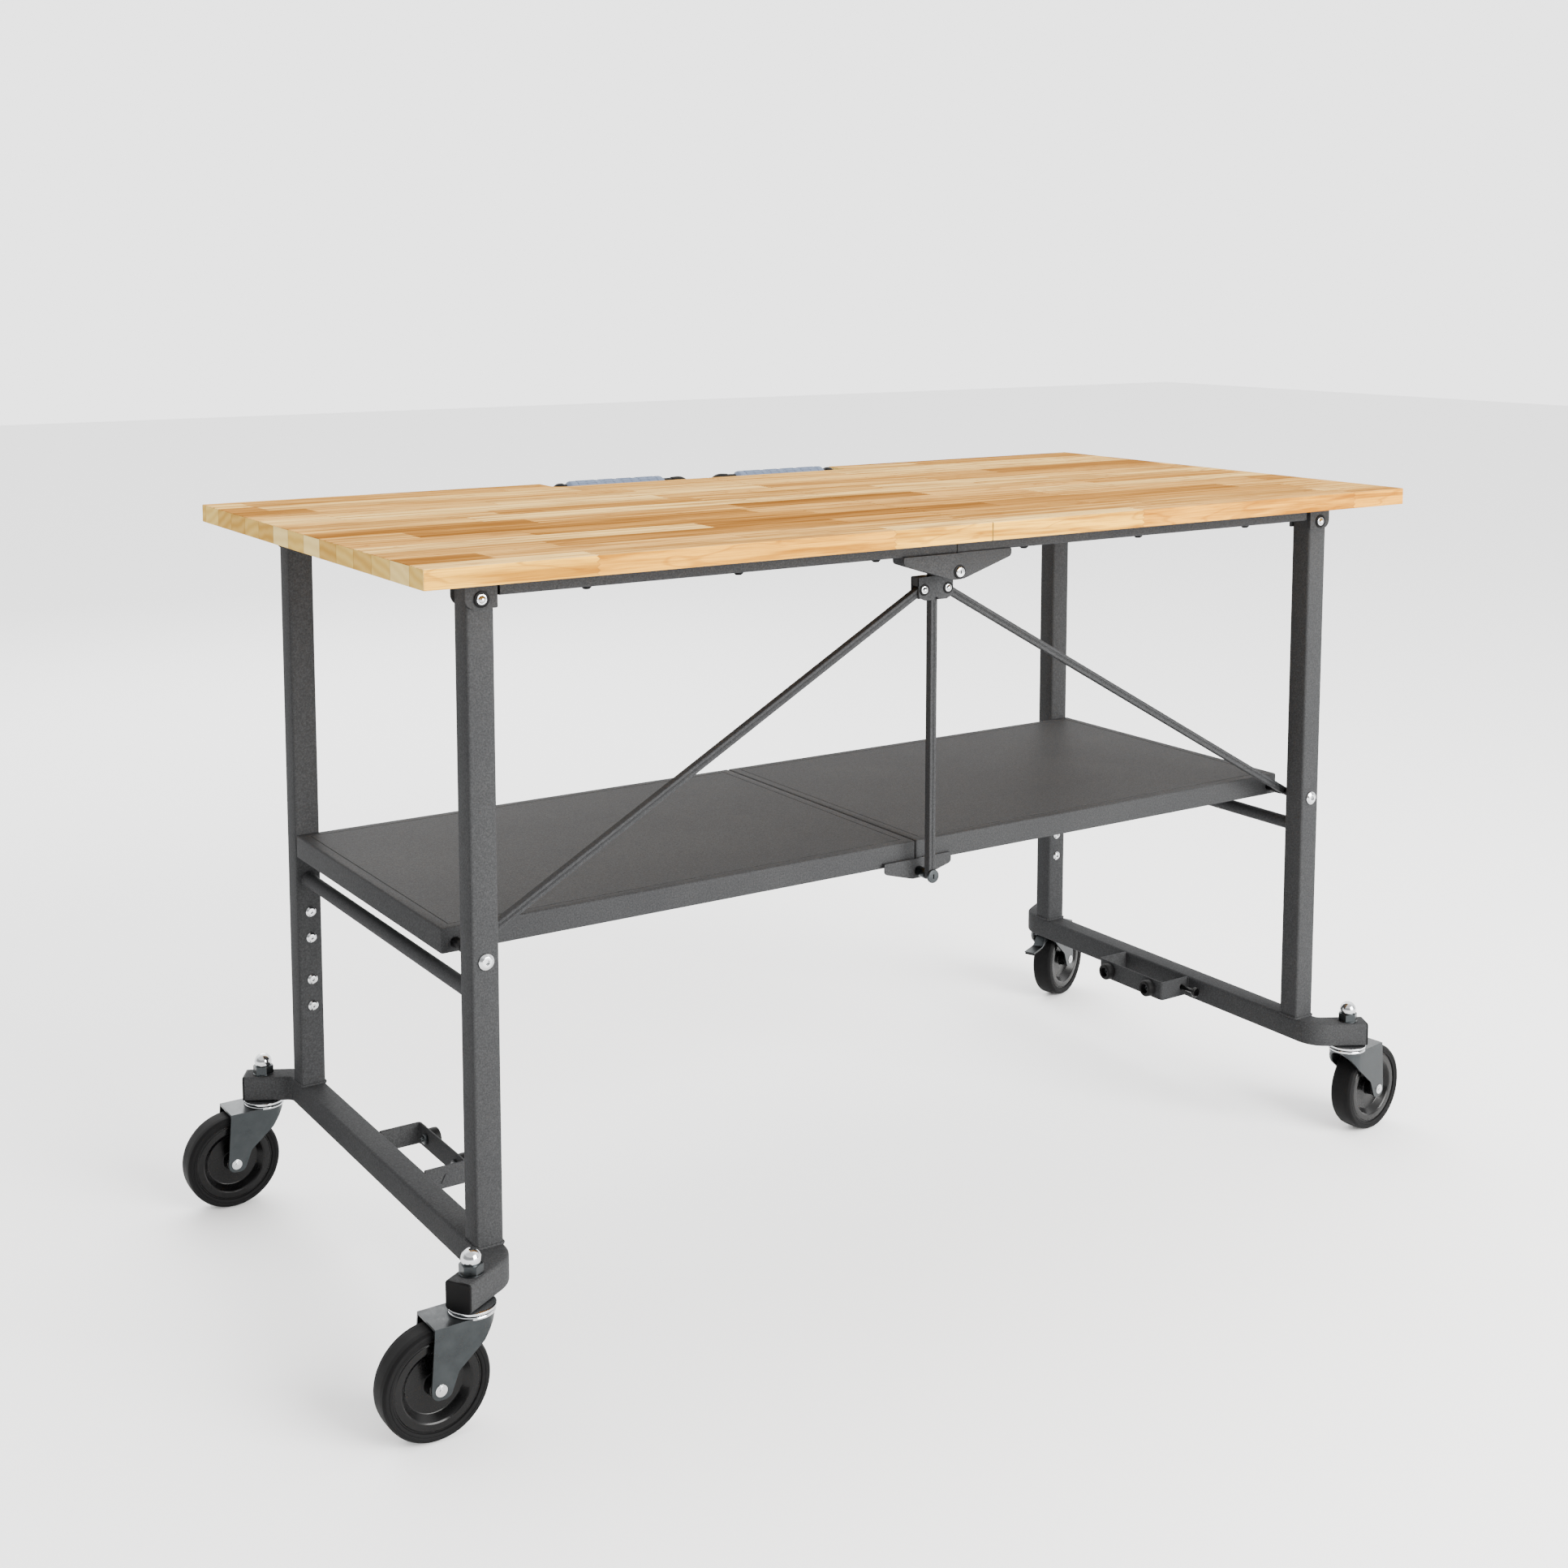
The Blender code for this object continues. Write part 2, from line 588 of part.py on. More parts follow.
def shelf(name, side):
    """One half of the shelf: a flanged sheet pan with hinge cheeks below its flanges at the seam."""
    top = TOP_HEIGHT - SHELF_TOP_DROP
    xs = sorted((side * SEAM_GAP / 2, side * SHELF_HALF_LENGTH))
    pan = box(name, (xs[0], SHELF_FRONT_Y, top - SHELF_FLANGE), (xs[1], SHELF_REAR_Y, top))
    inside = box("inside", (xs[0] + SHELF_SHEET, SHELF_FRONT_Y + SHELF_SHEET, top - SHELF_FLANGE - 0.01),
                 (xs[1] - SHELF_SHEET, SHELF_REAR_Y - SHELF_SHEET, top - SHELF_SHEET))
    steps = [("DIFFERENCE", inside)]
    for end, flange_y in ((-1, SHELF_FRONT_Y), (1, SHELF_REAR_Y)):
        x, z = side * LEG_X, SHELF_PIVOT_Z
        steps.append(("DIFFERENCE", rod("drill", (x, flange_y - 0.005, z), (x, flange_y + 0.005, z),
                                        HOLE_RADIUS, 12)))
        inset = 0.0 if side < 0 else SHELF_SHEET + TOUCH
        face = flange_y + end * (SHELF_HINGE_STANDOFF - inset)
        cheek_top = top - SHELF_FLANGE + 0.006
        steps.append(("UNION", hinge_cheek(
            "cheek", side, SHELF_PIN_Z, SHELF_HINGE_HALF_LENGTH, 0.012, cheek_top, face, face - end * SHELF_SHEET
        )))
        strap_y = sorted((face - end * 0.0002, flange_y - end * SHELF_SHEET * 0.5))
        strap_x = sorted((side * 0.010, side * (SHELF_HINGE_HALF_LENGTH - 0.001)))
        steps.append(("UNION", box("strap", (strap_x[0], strap_y[0], cheek_top - 0.0022),
                                   (strap_x[1], strap_y[1], cheek_top - 0.0004))))
    return combined(pan, *steps)


def shelf_pivot_bolt(name, side, end):
    """The bolt from a leg into the shelf's flange. The front ones also carry a brace."""
    head_face = LEG_OUTER_Y + TOUCH
    leg_side = LEG_INNER_Y - TOUCH
    stations = [(0.0050, 0.0010), (0.0078, 0.0026)]
    if end < 0:
        brace_face, brace_back = -LINK_Y + LINK_WIDTH / 2 + TOUCH, -LINK_Y - LINK_WIDTH / 2 - TOUCH
        flange_face, flange_back = -SHELF_FRONT_Y + TOUCH, -SHELF_FRONT_Y - SHELF_SHEET - TOUCH
        stations += [
            (PIN_RADIUS, head_face - leg_side), (0.0055, leg_side - brace_face),
            (PIN_RADIUS, brace_face - brace_back), (0.0055, brace_back - flange_face),
            (PIN_RADIUS, flange_face - flange_back),
        ]
    else:
        stations.append((PIN_RADIUS, head_face - SHELF_REAR_Y + SHELF_SHEET + TOUCH))
    stations.append((0.0052, 0.0035))
    return stepped_pin(name, stations, (side * LEG_X, end * (head_face + 0.0036), SHELF_PIVOT_Z), (0, end, 0))


def shelf_hinge_pin(name, end):
    """The pin of one shelf hinge. The front one starts in front of the centre bar's lower eye."""
    flange = abs(SHELF_FRONT_Y) if end < 0 else SHELF_REAR_Y
    cheek_face = flange + SHELF_HINGE_STANDOFF + TOUCH
    cheek_back = flange + SHELF_HINGE_STANDOFF - 2 * (SHELF_SHEET + TOUCH) - TOUCH
    start, stations = cheek_face, [(0.0050, 0.0010), (0.0078, 0.0016)]
    if end < 0:
        start = -LINK_Y + LINK_WIDTH / 2 + TOUCH
        bar_back = -LINK_Y - LINK_WIDTH / 2 - TOUCH
        stations += [(PIN_RADIUS, start - bar_back), (EYE_RADIUS * 0.7, bar_back - cheek_face)]
    stations += [(PIN_RADIUS, cheek_face - cheek_back), (0.0050, 0.0030)]
    return stepped_pin(name, stations, (0, end * (start + 0.0026), SHELF_PIN_Z), (0, end, 0))


def link(name, start, end):
    """A square bar in the linkage plane with an eye at each end, from one (x, z) pivot to another."""
    half, length = LINK_WIDTH / 2 + 0.0003, hypot(end[0] - start[0], end[1] - start[1])
    flat = LINK_WIDTH / 2
    outline = [
        (0, -flat), (length, -flat), *arc((length, 0), half, -pi / 2 + 0.37, pi / 2 - 0.37, 4),
        (length, flat), (0, flat), *arc((0, 0), half, pi / 2 + 0.37, 3 * pi / 2 - 0.37, 4),
    ]
    bar = plate(name, outline, -flat, flat, [(0, 0, HOLE_RADIUS), (length, 0, HOLE_RADIUS)], "Y")
    angle = atan2(end[1] - start[1], end[0] - start[0])
    bar.data.transform(Matrix.Translation((start[0], LINK_Y, start[1])) @ Matrix.Rotation(-angle, 4, "Y"))
    return bar


def runner(name):
    """The channel that slides on the centre bar, with the heads and nuts of its two brace bolts."""
    top = TOP_HEIGHT - RUNNER_TOP_DROP
    half, low = RUNNER_WIDTH / 2, top - RUNNER_HEIGHT
    notch = 0.0022
    outline = rounded([
        (half, top, 0.001), (-half, top, 0.001), (-half, low + 0.004, 0.004), (-half + 0.008, low, 0.003),
        (-notch, low, 0), (-notch, low + 0.003, 0.001), (notch, low + 0.003, 0.001), (notch, low, 0),
        (half - 0.008, low, 0.003), (half, low + 0.004, 0.004),
    ])
    front, back = LINK_Y - RUNNER_DEPTH / 2, LINK_Y + RUNNER_DEPTH / 2
    body = plate(name, outline, front, back, facing="Y")
    slot = box("slot", (-half - 0.01, front + SHEET, low - 0.01), (half + 0.01, back - SHEET, top - SHEET))
    gap = LINK_WIDTH / 2 + 0.0005
    passage = box("passage", (-gap, LINK_Y - gap, top - 0.01), (gap, LINK_Y + gap, top + 0.01))
    steps = [("DIFFERENCE", slot), ("DIFFERENCE", passage)]
    for x in (-RUNNER_PIN_X, RUNNER_PIN_X):
        for face, out in ((front, -1), (back, 1)):
            stations = [(0.0030, 0.0010), (0.0050, 0.0026)]
            head = stepped_pin("head", stations, (x, face + out * 0.0031, RUNNER_PIN_Z), (0, out, 0))
            steps.append(("UNION", head))
    return combined(body, *steps)


# Casters, built round a stem at the origin with the wheel trailing along +X


def fork_mesh():
    """The stamped fork with its race and axle."""
    axle_z = WHEEL_RADIUS
    side_view = rounded([
        (TRAIL + 0.005, FORK_TOP, 0), (TRAIL + 0.0098, axle_z - 0.0095, 0.009),
        (TRAIL - 0.0090, axle_z - 0.0095, 0.0080), (TRAIL - 0.0188, axle_z + 0.0142, 0.004),
        (-0.0032, axle_z + 0.037, 0.004), (-FORK_HALF_WIDTH, FORK_TOP, 0),
    ])
    plan = arc((0, 0), FORK_HALF_WIDTH, pi / 2, 3 * pi / 2, 8) + [
        (TRAIL + 0.03, -FORK_HALF_WIDTH), (TRAIL + 0.03, FORK_HALF_WIDTH)
    ]
    inside = FORK_HALF_WIDTH - FORK_SHEET
    inner_plan = arc((0, 0), inside, pi / 2, 3 * pi / 2, 8) + [(TRAIL + 0.05, -inside), (TRAIL + 0.05, inside)]
    reach = FORK_HALF_WIDTH + 0.01
    race = [(0.0150, 0.0015), (0.0198, 0.0015), (0.0206, -0.0010), (0, -0.0010)]
    axle = [(0.0062, 0.0027), (AXLE_RADIUS, 2 * FORK_HALF_WIDTH - 0.0010), (0.0062, 0.0027)]
    body = plate("fork", side_view, -reach, reach, facing="Y")
    return combined(
        body,
        ("INTERSECT", plate("plan", plan, 0, FORK_TOP + 0.01)),
        ("DIFFERENCE", plate("inner", inner_plan, -0.01, FORK_TOP - FORK_SHEET)),
        ("UNION", turned("race", [(0, 0.0015), *race], (0, 0, FORK_TOP), (0, 0, 1), 16)),
        ("UNION", stepped_pin("axle", axle, (TRAIL, -FORK_HALF_WIDTH - 0.0022, axle_z), (0, -1, 0))),
        ("DIFFERENCE", rod("kingpin", (0, 0, FORK_TOP - 0.01), (0, 0, FORK_TOP + 0.01), STEM_RADIUS + PIN_PLAY)),
    )


def stem_mesh():
    """The fixed part of a caster: lower race, stem through the base rail, and acorn nut."""
    race_bottom, race_top = FORK_TOP + 0.0019, BASE_RAIL_BOTTOM - TOUCH
    hex_bottom = BASE_RAIL_TOP + TOUCH
    dome = arc((0, hex_bottom + 0.0145), 0.0100, pi / 2, -0.35, 5)
    profile = dome + [
        (STEM_RADIUS, hex_bottom + 0.0100), (STEM_RADIUS, race_top), (RACE_RADIUS, race_top),
        (RACE_RADIUS, race_bottom + 0.0006), (RACE_RADIUS - 0.002, race_bottom), (STEM_RADIUS, race_bottom),
        (STEM_RADIUS, FORK_TOP - FORK_SHEET), (0, FORK_TOP - FORK_SHEET),
    ]
    core = turned("stem", profile, (0, 0, 0), (0, 0, 1), 16)
    nut = rod("nut", (0, 0, hex_bottom), (0, 0, hex_bottom + 0.0115), 0.0108, 6)
    return combined(core, ("UNION", nut))


def tyre_mesh():
    """The rubber tyre, a closed ring with soft shoulders."""
    half, bead = TYRE_HALF_WIDTH, CORE_RADIUS + TOUCH
    outer = WHEEL_RADIUS
    half_ring = [(bead, half - 0.0015), (outer - 0.0055, half), (outer - 0.0020, half - 0.0008),
                 (outer, half - 0.0050)]
    ring = half_ring + [(radius, -height) for radius, height in reversed(half_ring)]
    return turned("tyre", ring, (TRAIL, 0, WHEEL_RADIUS), (0, -1, 0), 28, ring=True)


def core_mesh():
    """The moulded wheel centre with a recessed disc and a hub."""
    bore, hub = AXLE_RADIUS + PIN_PLAY, FORK_HALF_WIDTH - FORK_SHEET - 0.0015
    rim = TYRE_HALF_WIDTH - 0.0018
    half_ring = [(bore, hub), (0.0095, hub), (0.0105, 0.0048), (0.0300, 0.0045), (0.0355, rim),
                 (CORE_RADIUS, rim)]
    ring = half_ring + [(radius, -height) for radius, height in reversed(half_ring)]
    return turned("core", ring, (TRAIL, 0, WHEEL_RADIUS), (0, -1, 0), 28, ring=True)


def pedal_mesh():
    """The foot brake lever of a caster, hung between the fork's cheeks on its own cross pin."""
    pivot_x, pivot_z = PEDAL_PIVOT
    outline = rounded([
        (pivot_x + 0.004, pivot_z + 0.003, 0.001), (pivot_x + 0.004, pivot_z - 0.003, 0.001),
        (pivot_x - 0.018, pivot_z - 0.0145, 0.003), (pivot_x - 0.046, pivot_z - 0.0165, 0.001),
        (pivot_x - 0.046, pivot_z - 0.0135, 0.001), (pivot_x - 0.018, pivot_z - 0.0110, 0.003),
        (pivot_x - 0.004, pivot_z + 0.003, 0.001),
    ], steps=2)
    lever = plate("pedal", outline, -0.0100, 0.0100, facing="Y")
    reach = FORK_HALF_WIDTH - FORK_SHEET - 0.0022
    pin = rod("pin", (pivot_x, -reach, pivot_z), (pivot_x, reach, pivot_z), 0.0022, 12)
    return combined(lever, ("UNION", pin))


PEDAL_PIVOT = (-0.006, 0.1025)


# Assembly


def footprint_centre():
    """The middle of the bench's outline seen from above, which the turned casters move off the boards' middle."""
    def reach(side, end, axis):
        heading = HEADINGS[side, end]
        u, v = Vector((cos(heading), sin(heading))), Vector((-sin(heading), cos(heading)))
        stem = Vector((SIDES[side] * STEM_X, ENDS[end] * STEM_Y))
        corners = [(TRAIL + WHEEL_RADIUS, TYRE_HALF_WIDTH - 0.006), (TRAIL + WHEEL_RADIUS - 0.002,
                   TYRE_HALF_WIDTH - 0.0008), (TRAIL, FORK_HALF_WIDTH + 0.0022)]
        places = [stem + u * a + v * b * sign for a, b in corners for sign in (-1, 1)]
        return [place[axis] for place in places]

    boards = (BOARD_LENGTH / 2, BOARD_DEPTH / 2)
    middle = []
    for axis in (0, 1):
        values = [value for side, end in HEADINGS for value in reach(side, end, axis)]
        values += [boards[axis], -boards[axis]]
        middle.append((min(values) + max(values)) / 2)
    return middle


class Assembly:
    """Holds the bench's collection and hangs each piece from its group's empty."""

    def __init__(self):
        self.collection = bpy.data.collections.new("work_platform_bench")
        bpy.context.scene.collection.children.link(self.collection)
        x, y = footprint_centre()
        self.base = self.empty("bench", (-x, -y, 0), None)
        self.groups = {}

    def empty(self, name, place, parent):
        """An empty that carries pieces."""
        made = bpy.data.objects.new(name, None)
        made.empty_display_size = 0.03
        self.collection.objects.link(made)
        made.parent = parent
        made.location = place
        return made

    def group(self, name, axis_point=(0, 0, 0)):
        """Start a group whose empty stands on its joint's axis."""
        self.groups[name] = (self.empty(name + "_axis", axis_point, self.base), Vector(axis_point))

    def add(self, group, obj, spec):
        """Finish a piece made in bench coordinates and hang it from its group."""
        carrier, point = self.groups[group]
        obj.data.transform(Matrix.Translation(-point))
        self.hang(obj, carrier, spec)

    def add_copy(self, group, name, mesh, spec):
        """Add a piece whose shared mesh is drawn round its group's empty."""
        obj = bpy.data.objects.new(name, mesh)
        self.hang(obj, self.groups[group][0], spec)

    def hang(self, obj, carrier, spec):
        """Move an object into the collection with its finish, parent and shading."""
        for holder in list(obj.users_collection):
            holder.objects.unlink(obj)
        self.collection.objects.link(obj)
        obj.parent = carrier
        if not obj.data.materials:
            obj.data.materials.append(finish(spec))
        for polygon in obj.data.polygons:
            polygon.use_smooth = True
        obj.data.set_sharp_from_angle(angle=radians(32))


def add_tops(bench):
    """The two board halves with their rails, handles and pins."""
    for side_name, side in SIDES.items():
        group = side_name + "_top"
        bench.group(group, (side * LEG_X, 0, PIVOT_Z) if side < 0 else (0, 0, CENTRE_PIN_Z))
        bench.add(group, board(side_name + "_board", side), BUTCHER_BLOCK)
        bench.add(group, handle_bow(side_name + "_handle_bow", side), BLACK_PLASTIC)
        bench.add(group, handle_grip(side_name + "_handle_grip", side), GRIP_RUBBER)
        for end_name, end in ENDS.items():
            place = f"{side_name}_{end_name}_"
            bench.add(group, rail(place + "rail", side, end), POWDER_GREY)
            bench.add(group, top_pivot_bolt(place + "top_pivot_bolt", side, end), ZINC)
    for end_name, end in ENDS.items():
        bench.add("left_top", top_hinge_pin(end_name + "_top_hinge_pin", end), ZINC)


def add_frames(bench):
    """The two leg frames with their latch brackets."""
    for side_name, side in SIDES.items():
        group = side_name + "_frame"
        bench.group(group, (0, 0, 0) if side < 0 else (LEG_X, 0, PIVOT_Z))
        bench.add(group, base_rail(side_name + "_base_rail", side), POWDER_GREY)
        bench.add(group, cross_bar(side_name + "_cross_bar", side), POWDER_GREY)
        bench.add(group, latch_bracket(side_name + "_latch_bracket", side), POWDER_GREY)
        for end_name, end in ENDS.items():
            place = f"{side_name}_{end_name}_"
            bench.add(group, leg(place + "leg", side, end), POWDER_GREY)
            bench.add(group, bumper(place + "bumper", side, end), BUMPER_RUBBER)
            bench.add(group, shelf_pivot_bolt(place + "shelf_pivot_bolt", side, end), ZINC)
    bench.group("latch")
    bench.add("latch", latch_pin("latch_pin"), BLACK_PLASTIC)


def add_shelf_and_links(bench):
    """The folding shelf, the centre bar, the runner and the braces."""
    bench.group("left_shelf", (-LEG_X, 0, SHELF_PIVOT_Z))
    bench.group("right_shelf", (0, 0, SHELF_PIN_Z))
    for side_name, side in SIDES.items():
        bench.add(side_name + "_shelf", shelf(side_name + "_shelf", side), POWDER_GREY)
        bench.group(side_name + "_brace", (side * LEG_X, LINK_Y, SHELF_PIVOT_Z))
        ends = (side * RUNNER_PIN_X, RUNNER_PIN_Z), (side * LEG_X, SHELF_PIVOT_Z)
        bench.add(side_name + "_brace", link(side_name + "_brace", *ends), POWDER_GREY)
    for end_name, end in ENDS.items():
        bench.add("left_shelf", shelf_hinge_pin(end_name + "_shelf_hinge_pin", end), ZINC)
    bench.group("centre_bar", (0, LINK_Y, SHELF_PIN_Z))
    bench.add("centre_bar", link("centre_bar", (0, SHELF_PIN_Z), (0, CENTRE_PIN_Z)), POWDER_GREY)
    bench.group("runner", (0, LINK_Y, RUNNER_PIN_Z))
    bench.add("runner", runner("runner"), POWDER_GREY)


def add_casters(bench):
    """Four swivel casters. The right rear one has the foot brake."""
    shapes = {"fork": fork_mesh(), "stem": stem_mesh(), "tyre": tyre_mesh(), "core": core_mesh()}
    finishes = {"fork": ZINC, "stem": ZINC, "tyre": TYRE_RUBBER, "core": BLACK_PLASTIC}
    names = {"fork": "fork", "stem": "caster_stem", "tyre": "tyre", "core": "wheel_core"}
    for (side_name, end_name), heading in HEADINGS.items():
        place = f"{side_name}_{end_name}_"
        group = place + "caster"
        bench.group(group, (SIDES[side_name] * STEM_X, ENDS[end_name] * STEM_Y, 0))
        bench.groups[group][0].rotation_euler.z = heading
        for key, source in shapes.items():
            bench.add_copy(group, place + names[key], source.data, finishes[key])
        if (side_name, end_name) == ("right", "rear"):
            pedal = pedal_mesh()
            bench.add_copy(group, "brake_pedal", pedal.data, ZINC)
            bpy.data.objects.remove(pedal, do_unlink=True)
    for source in shapes.values():
        bpy.data.objects.remove(source, do_unlink=True)


def main():
    """Build the bench."""
    clear_scene()
    bench = Assembly()
    add_tops(bench)
    add_frames(bench)
    add_shelf_and_links(bench)
    add_casters(bench)


main()
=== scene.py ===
"""Folding work platform bench: the finished pieces, their finishes and the studio round them."""

import json
import logging
from dataclasses import dataclass, field
from enum import Enum
from math import acos, atan2, cos, hypot, pi, radians, sin, tan
from typing import Iterable, Sequence

import bmesh
import bpy
from mathutils import Matrix, Vector

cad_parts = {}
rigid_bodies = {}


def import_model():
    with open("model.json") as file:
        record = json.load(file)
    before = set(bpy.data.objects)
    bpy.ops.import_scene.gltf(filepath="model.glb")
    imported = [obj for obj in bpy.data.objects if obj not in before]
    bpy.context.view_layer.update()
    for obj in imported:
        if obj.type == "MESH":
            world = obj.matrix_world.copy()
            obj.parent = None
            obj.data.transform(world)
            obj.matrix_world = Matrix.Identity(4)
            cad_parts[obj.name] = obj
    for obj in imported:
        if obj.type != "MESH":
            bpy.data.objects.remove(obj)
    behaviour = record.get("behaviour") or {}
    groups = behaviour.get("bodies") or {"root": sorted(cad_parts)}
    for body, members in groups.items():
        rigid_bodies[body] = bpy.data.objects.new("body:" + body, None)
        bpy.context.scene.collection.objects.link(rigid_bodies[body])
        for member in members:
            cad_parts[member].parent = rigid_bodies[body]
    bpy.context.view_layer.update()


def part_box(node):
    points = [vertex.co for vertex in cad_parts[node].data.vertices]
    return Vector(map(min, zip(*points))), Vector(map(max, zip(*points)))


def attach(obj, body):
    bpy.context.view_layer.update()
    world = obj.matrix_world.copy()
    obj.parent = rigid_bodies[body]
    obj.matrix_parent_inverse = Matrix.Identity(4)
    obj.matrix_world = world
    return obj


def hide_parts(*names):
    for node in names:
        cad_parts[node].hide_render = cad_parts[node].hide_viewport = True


LOG = logging.getLogger("bench")
Point = tuple[float, ...]
Socket = bpy.types.NodeSocket

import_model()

# Sizes in metres that the hinges, bolts and bars share.
PIN_RADIUS = 0.003
PIN_HOLE = 0.0034
SLEEVE_BORE = 0.0031
SLIDE_GAP = 0.0003


class Side(Enum):
    """The two halves of the bench, with the sign of their X."""

    LEFT = -1
    RIGHT = 1

    @property
    def word(self) -> str:
        """The half's name as it stands in a node's name."""
        return self.name.lower()


class End(Enum):
    """The bench's front and rear, with the sign of their Y."""

    FRONT = -1
    REAR = 1

    @property
    def word(self) -> str:
        """The end's name as it stands in a node's name."""
        return self.name.lower()


class Head(Enum):
    """The kinds of fastener head."""

    DOME = "dome on a washer"
    BUTTON = "button with a hexagon socket"
    SLOTTED = "slotted disc"
    NUT = "hexagon nut"
    PAN = "pan head"


# Finishes


class Graph:
    """One material's node tree, with short calls for its nodes."""

    def __init__(self, name: str) -> None:
        """Start a material with a Principled shader.

        Args:
            name: The material's name.
        """
        self.material = bpy.data.materials.new(name)
        self.material.use_nodes = True
        self.tree = self.material.node_tree
        self.shader = self.tree.nodes["Principled BSDF"]
        self.position = self.node("ShaderNodeTexCoord").outputs["Object"]

    def node(self, kind: str, **settings: object) -> bpy.types.Node:
        """Add a node and set its properties."""
        made = self.tree.nodes.new(kind)
        for name, value in settings.items():
            setattr(made, name, value)
        return made

    def feed(self, target: Socket, value: object) -> None:
        """Link a socket to an input, or set the input to a plain value."""
        if isinstance(value, bpy.types.NodeSocket):
            self.tree.links.new(value, target)
        elif isinstance(value, (tuple, list)) and len(value) == 3 and target.type == "RGBA":
            target.default_value = (*value, 1.0)
        else:
            target.default_value = value

    def set(self, **values: object) -> None:
        """Set or link the shader's inputs; an underscore in a name stands for a space."""
        for name, value in values.items():
            self.feed(self.shader.inputs[name.replace("_", " ")], value)

    def math(self, operation: str, *values: object) -> Socket:
        """A Math node's result."""
        made = self.node("ShaderNodeMath", operation=operation)
        for target, value in zip(made.inputs, values):
            self.feed(target, value)
        return made.outputs[0]

    def stretched(self, vector: Socket, scale: Point, shift: object = (0.0, 0.0, 0.0)) -> Socket:
        """A vector scaled and moved.

        Args:
            vector: The vector to change.
            scale: Its scale along each axis.
            shift: What is added after scaling, a vector or a socket.

        Returns:
            The changed vector.
        """
        made = self.node("ShaderNodeVectorMath", operation="MULTIPLY_ADD")
        self.feed(made.inputs[0], vector)
        self.feed(made.inputs[1], scale)
        self.feed(made.inputs[2], shift)
        return made.outputs[0]

    def noise(self, vector: Socket, scale: float, detail: float = 3.0, rough: float = 0.5,
              warp: float = 0.0) -> Socket:
        """A noise texture's value."""
        made = self.node("ShaderNodeTexNoise")
        for name, value in (("Vector", vector), ("Scale", scale), ("Detail", detail), ("Roughness", rough),
                            ("Distortion", warp)):
            self.feed(made.inputs[name], value)
        return made.outputs[0]

    def dice(self, vector: Socket) -> tuple[Socket, Socket]:
        """A white noise value and colour for a whole-number cell."""
        made = self.node("ShaderNodeTexWhiteNoise", noise_dimensions="3D")
        self.feed(made.inputs["Vector"], vector)
        return made.outputs["Value"], made.outputs["Color"]

    def join(self, x: object, y: object, z: object = 0.0) -> Socket:
        """A vector from three values."""
        made = self.node("ShaderNodeCombineXYZ")
        for target, value in zip(made.inputs, (x, y, z)):
            self.feed(target, value)
        return made.outputs[0]

    def split(self, vector: Socket) -> tuple[Socket, Socket, Socket]:
        """A vector's three values."""
        made = self.node("ShaderNodeSeparateXYZ")
        self.feed(made.inputs[0], vector)
        return made.outputs[0], made.outputs[1], made.outputs[2]

    def between(self, value: Socket, low: float, high: float, start: float = 0.0, end: float = 1.0) -> Socket:
        """A value eased from one range to another."""
        made = self.node("ShaderNodeMapRange", interpolation_type="SMOOTHSTEP")
        for target, number in zip(made.inputs, (value, low, high, start, end)):
            self.feed(target, number)
        return made.outputs[0]

    def ramp(self, value: Socket, stops: Sequence[tuple[float, Point]]) -> Socket:
        """A colour ramp over a value."""
        made = self.node("ShaderNodeValToRGB")
        elements = made.color_ramp.elements
        while len(elements) < len(stops):
            elements.new(0.5)
        for element, (place, colour) in zip(elements, stops):
            element.position, element.color = place, (*colour, 1.0)
        self.feed(made.inputs[0], value)
        return made.outputs[0]

    def mix(self, share: object, first: object, second: object, blend: str = "MIX") -> Socket:
        """Two colours mixed by a share."""
        made = self.node("ShaderNodeMix", data_type="RGBA", blend_type=blend)
        self.feed(made.inputs[0], share)
        self.feed(made.inputs[6], first)
        self.feed(made.inputs[7], second)
        return made.outputs[2]

    def bump(self, height: Socket, distance: float, strength: float = 1.0) -> Socket:
        """A bumped normal, linked to the shader."""
        made = self.node("ShaderNodeBump")
        self.feed(made.inputs["Height"], height)
        made.inputs["Distance"].default_value = distance
        made.inputs["Strength"].default_value = strength
        self.feed(self.shader.inputs["Normal"], made.outputs[0])
        return made.outputs[0]


@dataclass(frozen=True)
class PowderCoat:
    """Fine-textured powder coat over steel."""

    name: str = "Powder coat grey"
    slot: str = "powder_grey"
    colour: Point = (0.0290, 0.0295, 0.0305)
    grain: float = 620.0
    roughness: float = 0.54

    def build(self) -> bpy.types.Material:
        """The material: a mottled coat with the small peel of baked powder."""
        g = Graph(self.name)
        peel = g.noise(g.position, self.grain, 3.0, 0.62)
        speck = g.noise(g.position, self.grain * 2.6, 1.0)
        cloud = g.noise(g.position, 7.0, 4.0, 0.6)
        dark = tuple(value * 0.70 for value in self.colour)
        light = tuple(value * 1.38 for value in self.colour)
        base = g.ramp(peel, [(0.30, dark), (0.52, self.colour), (0.74, light)])
        tint = g.ramp(cloud, [(0.3, (0.93, 0.93, 0.94)), (0.7, (1.06, 1.06, 1.05))])
        g.set(Base_Color=g.mix(1.0, base, tint, "MULTIPLY"), Metallic=0.0, Specular_IOR_Level=0.015)
        g.set(Roughness=g.between(speck, 0.25, 0.75, self.roughness - 0.07, self.roughness + 0.09))
        g.bump(g.math("ADD", peel, g.math("MULTIPLY", speck, 0.35)), 0.00022, 0.55)
        return g.material


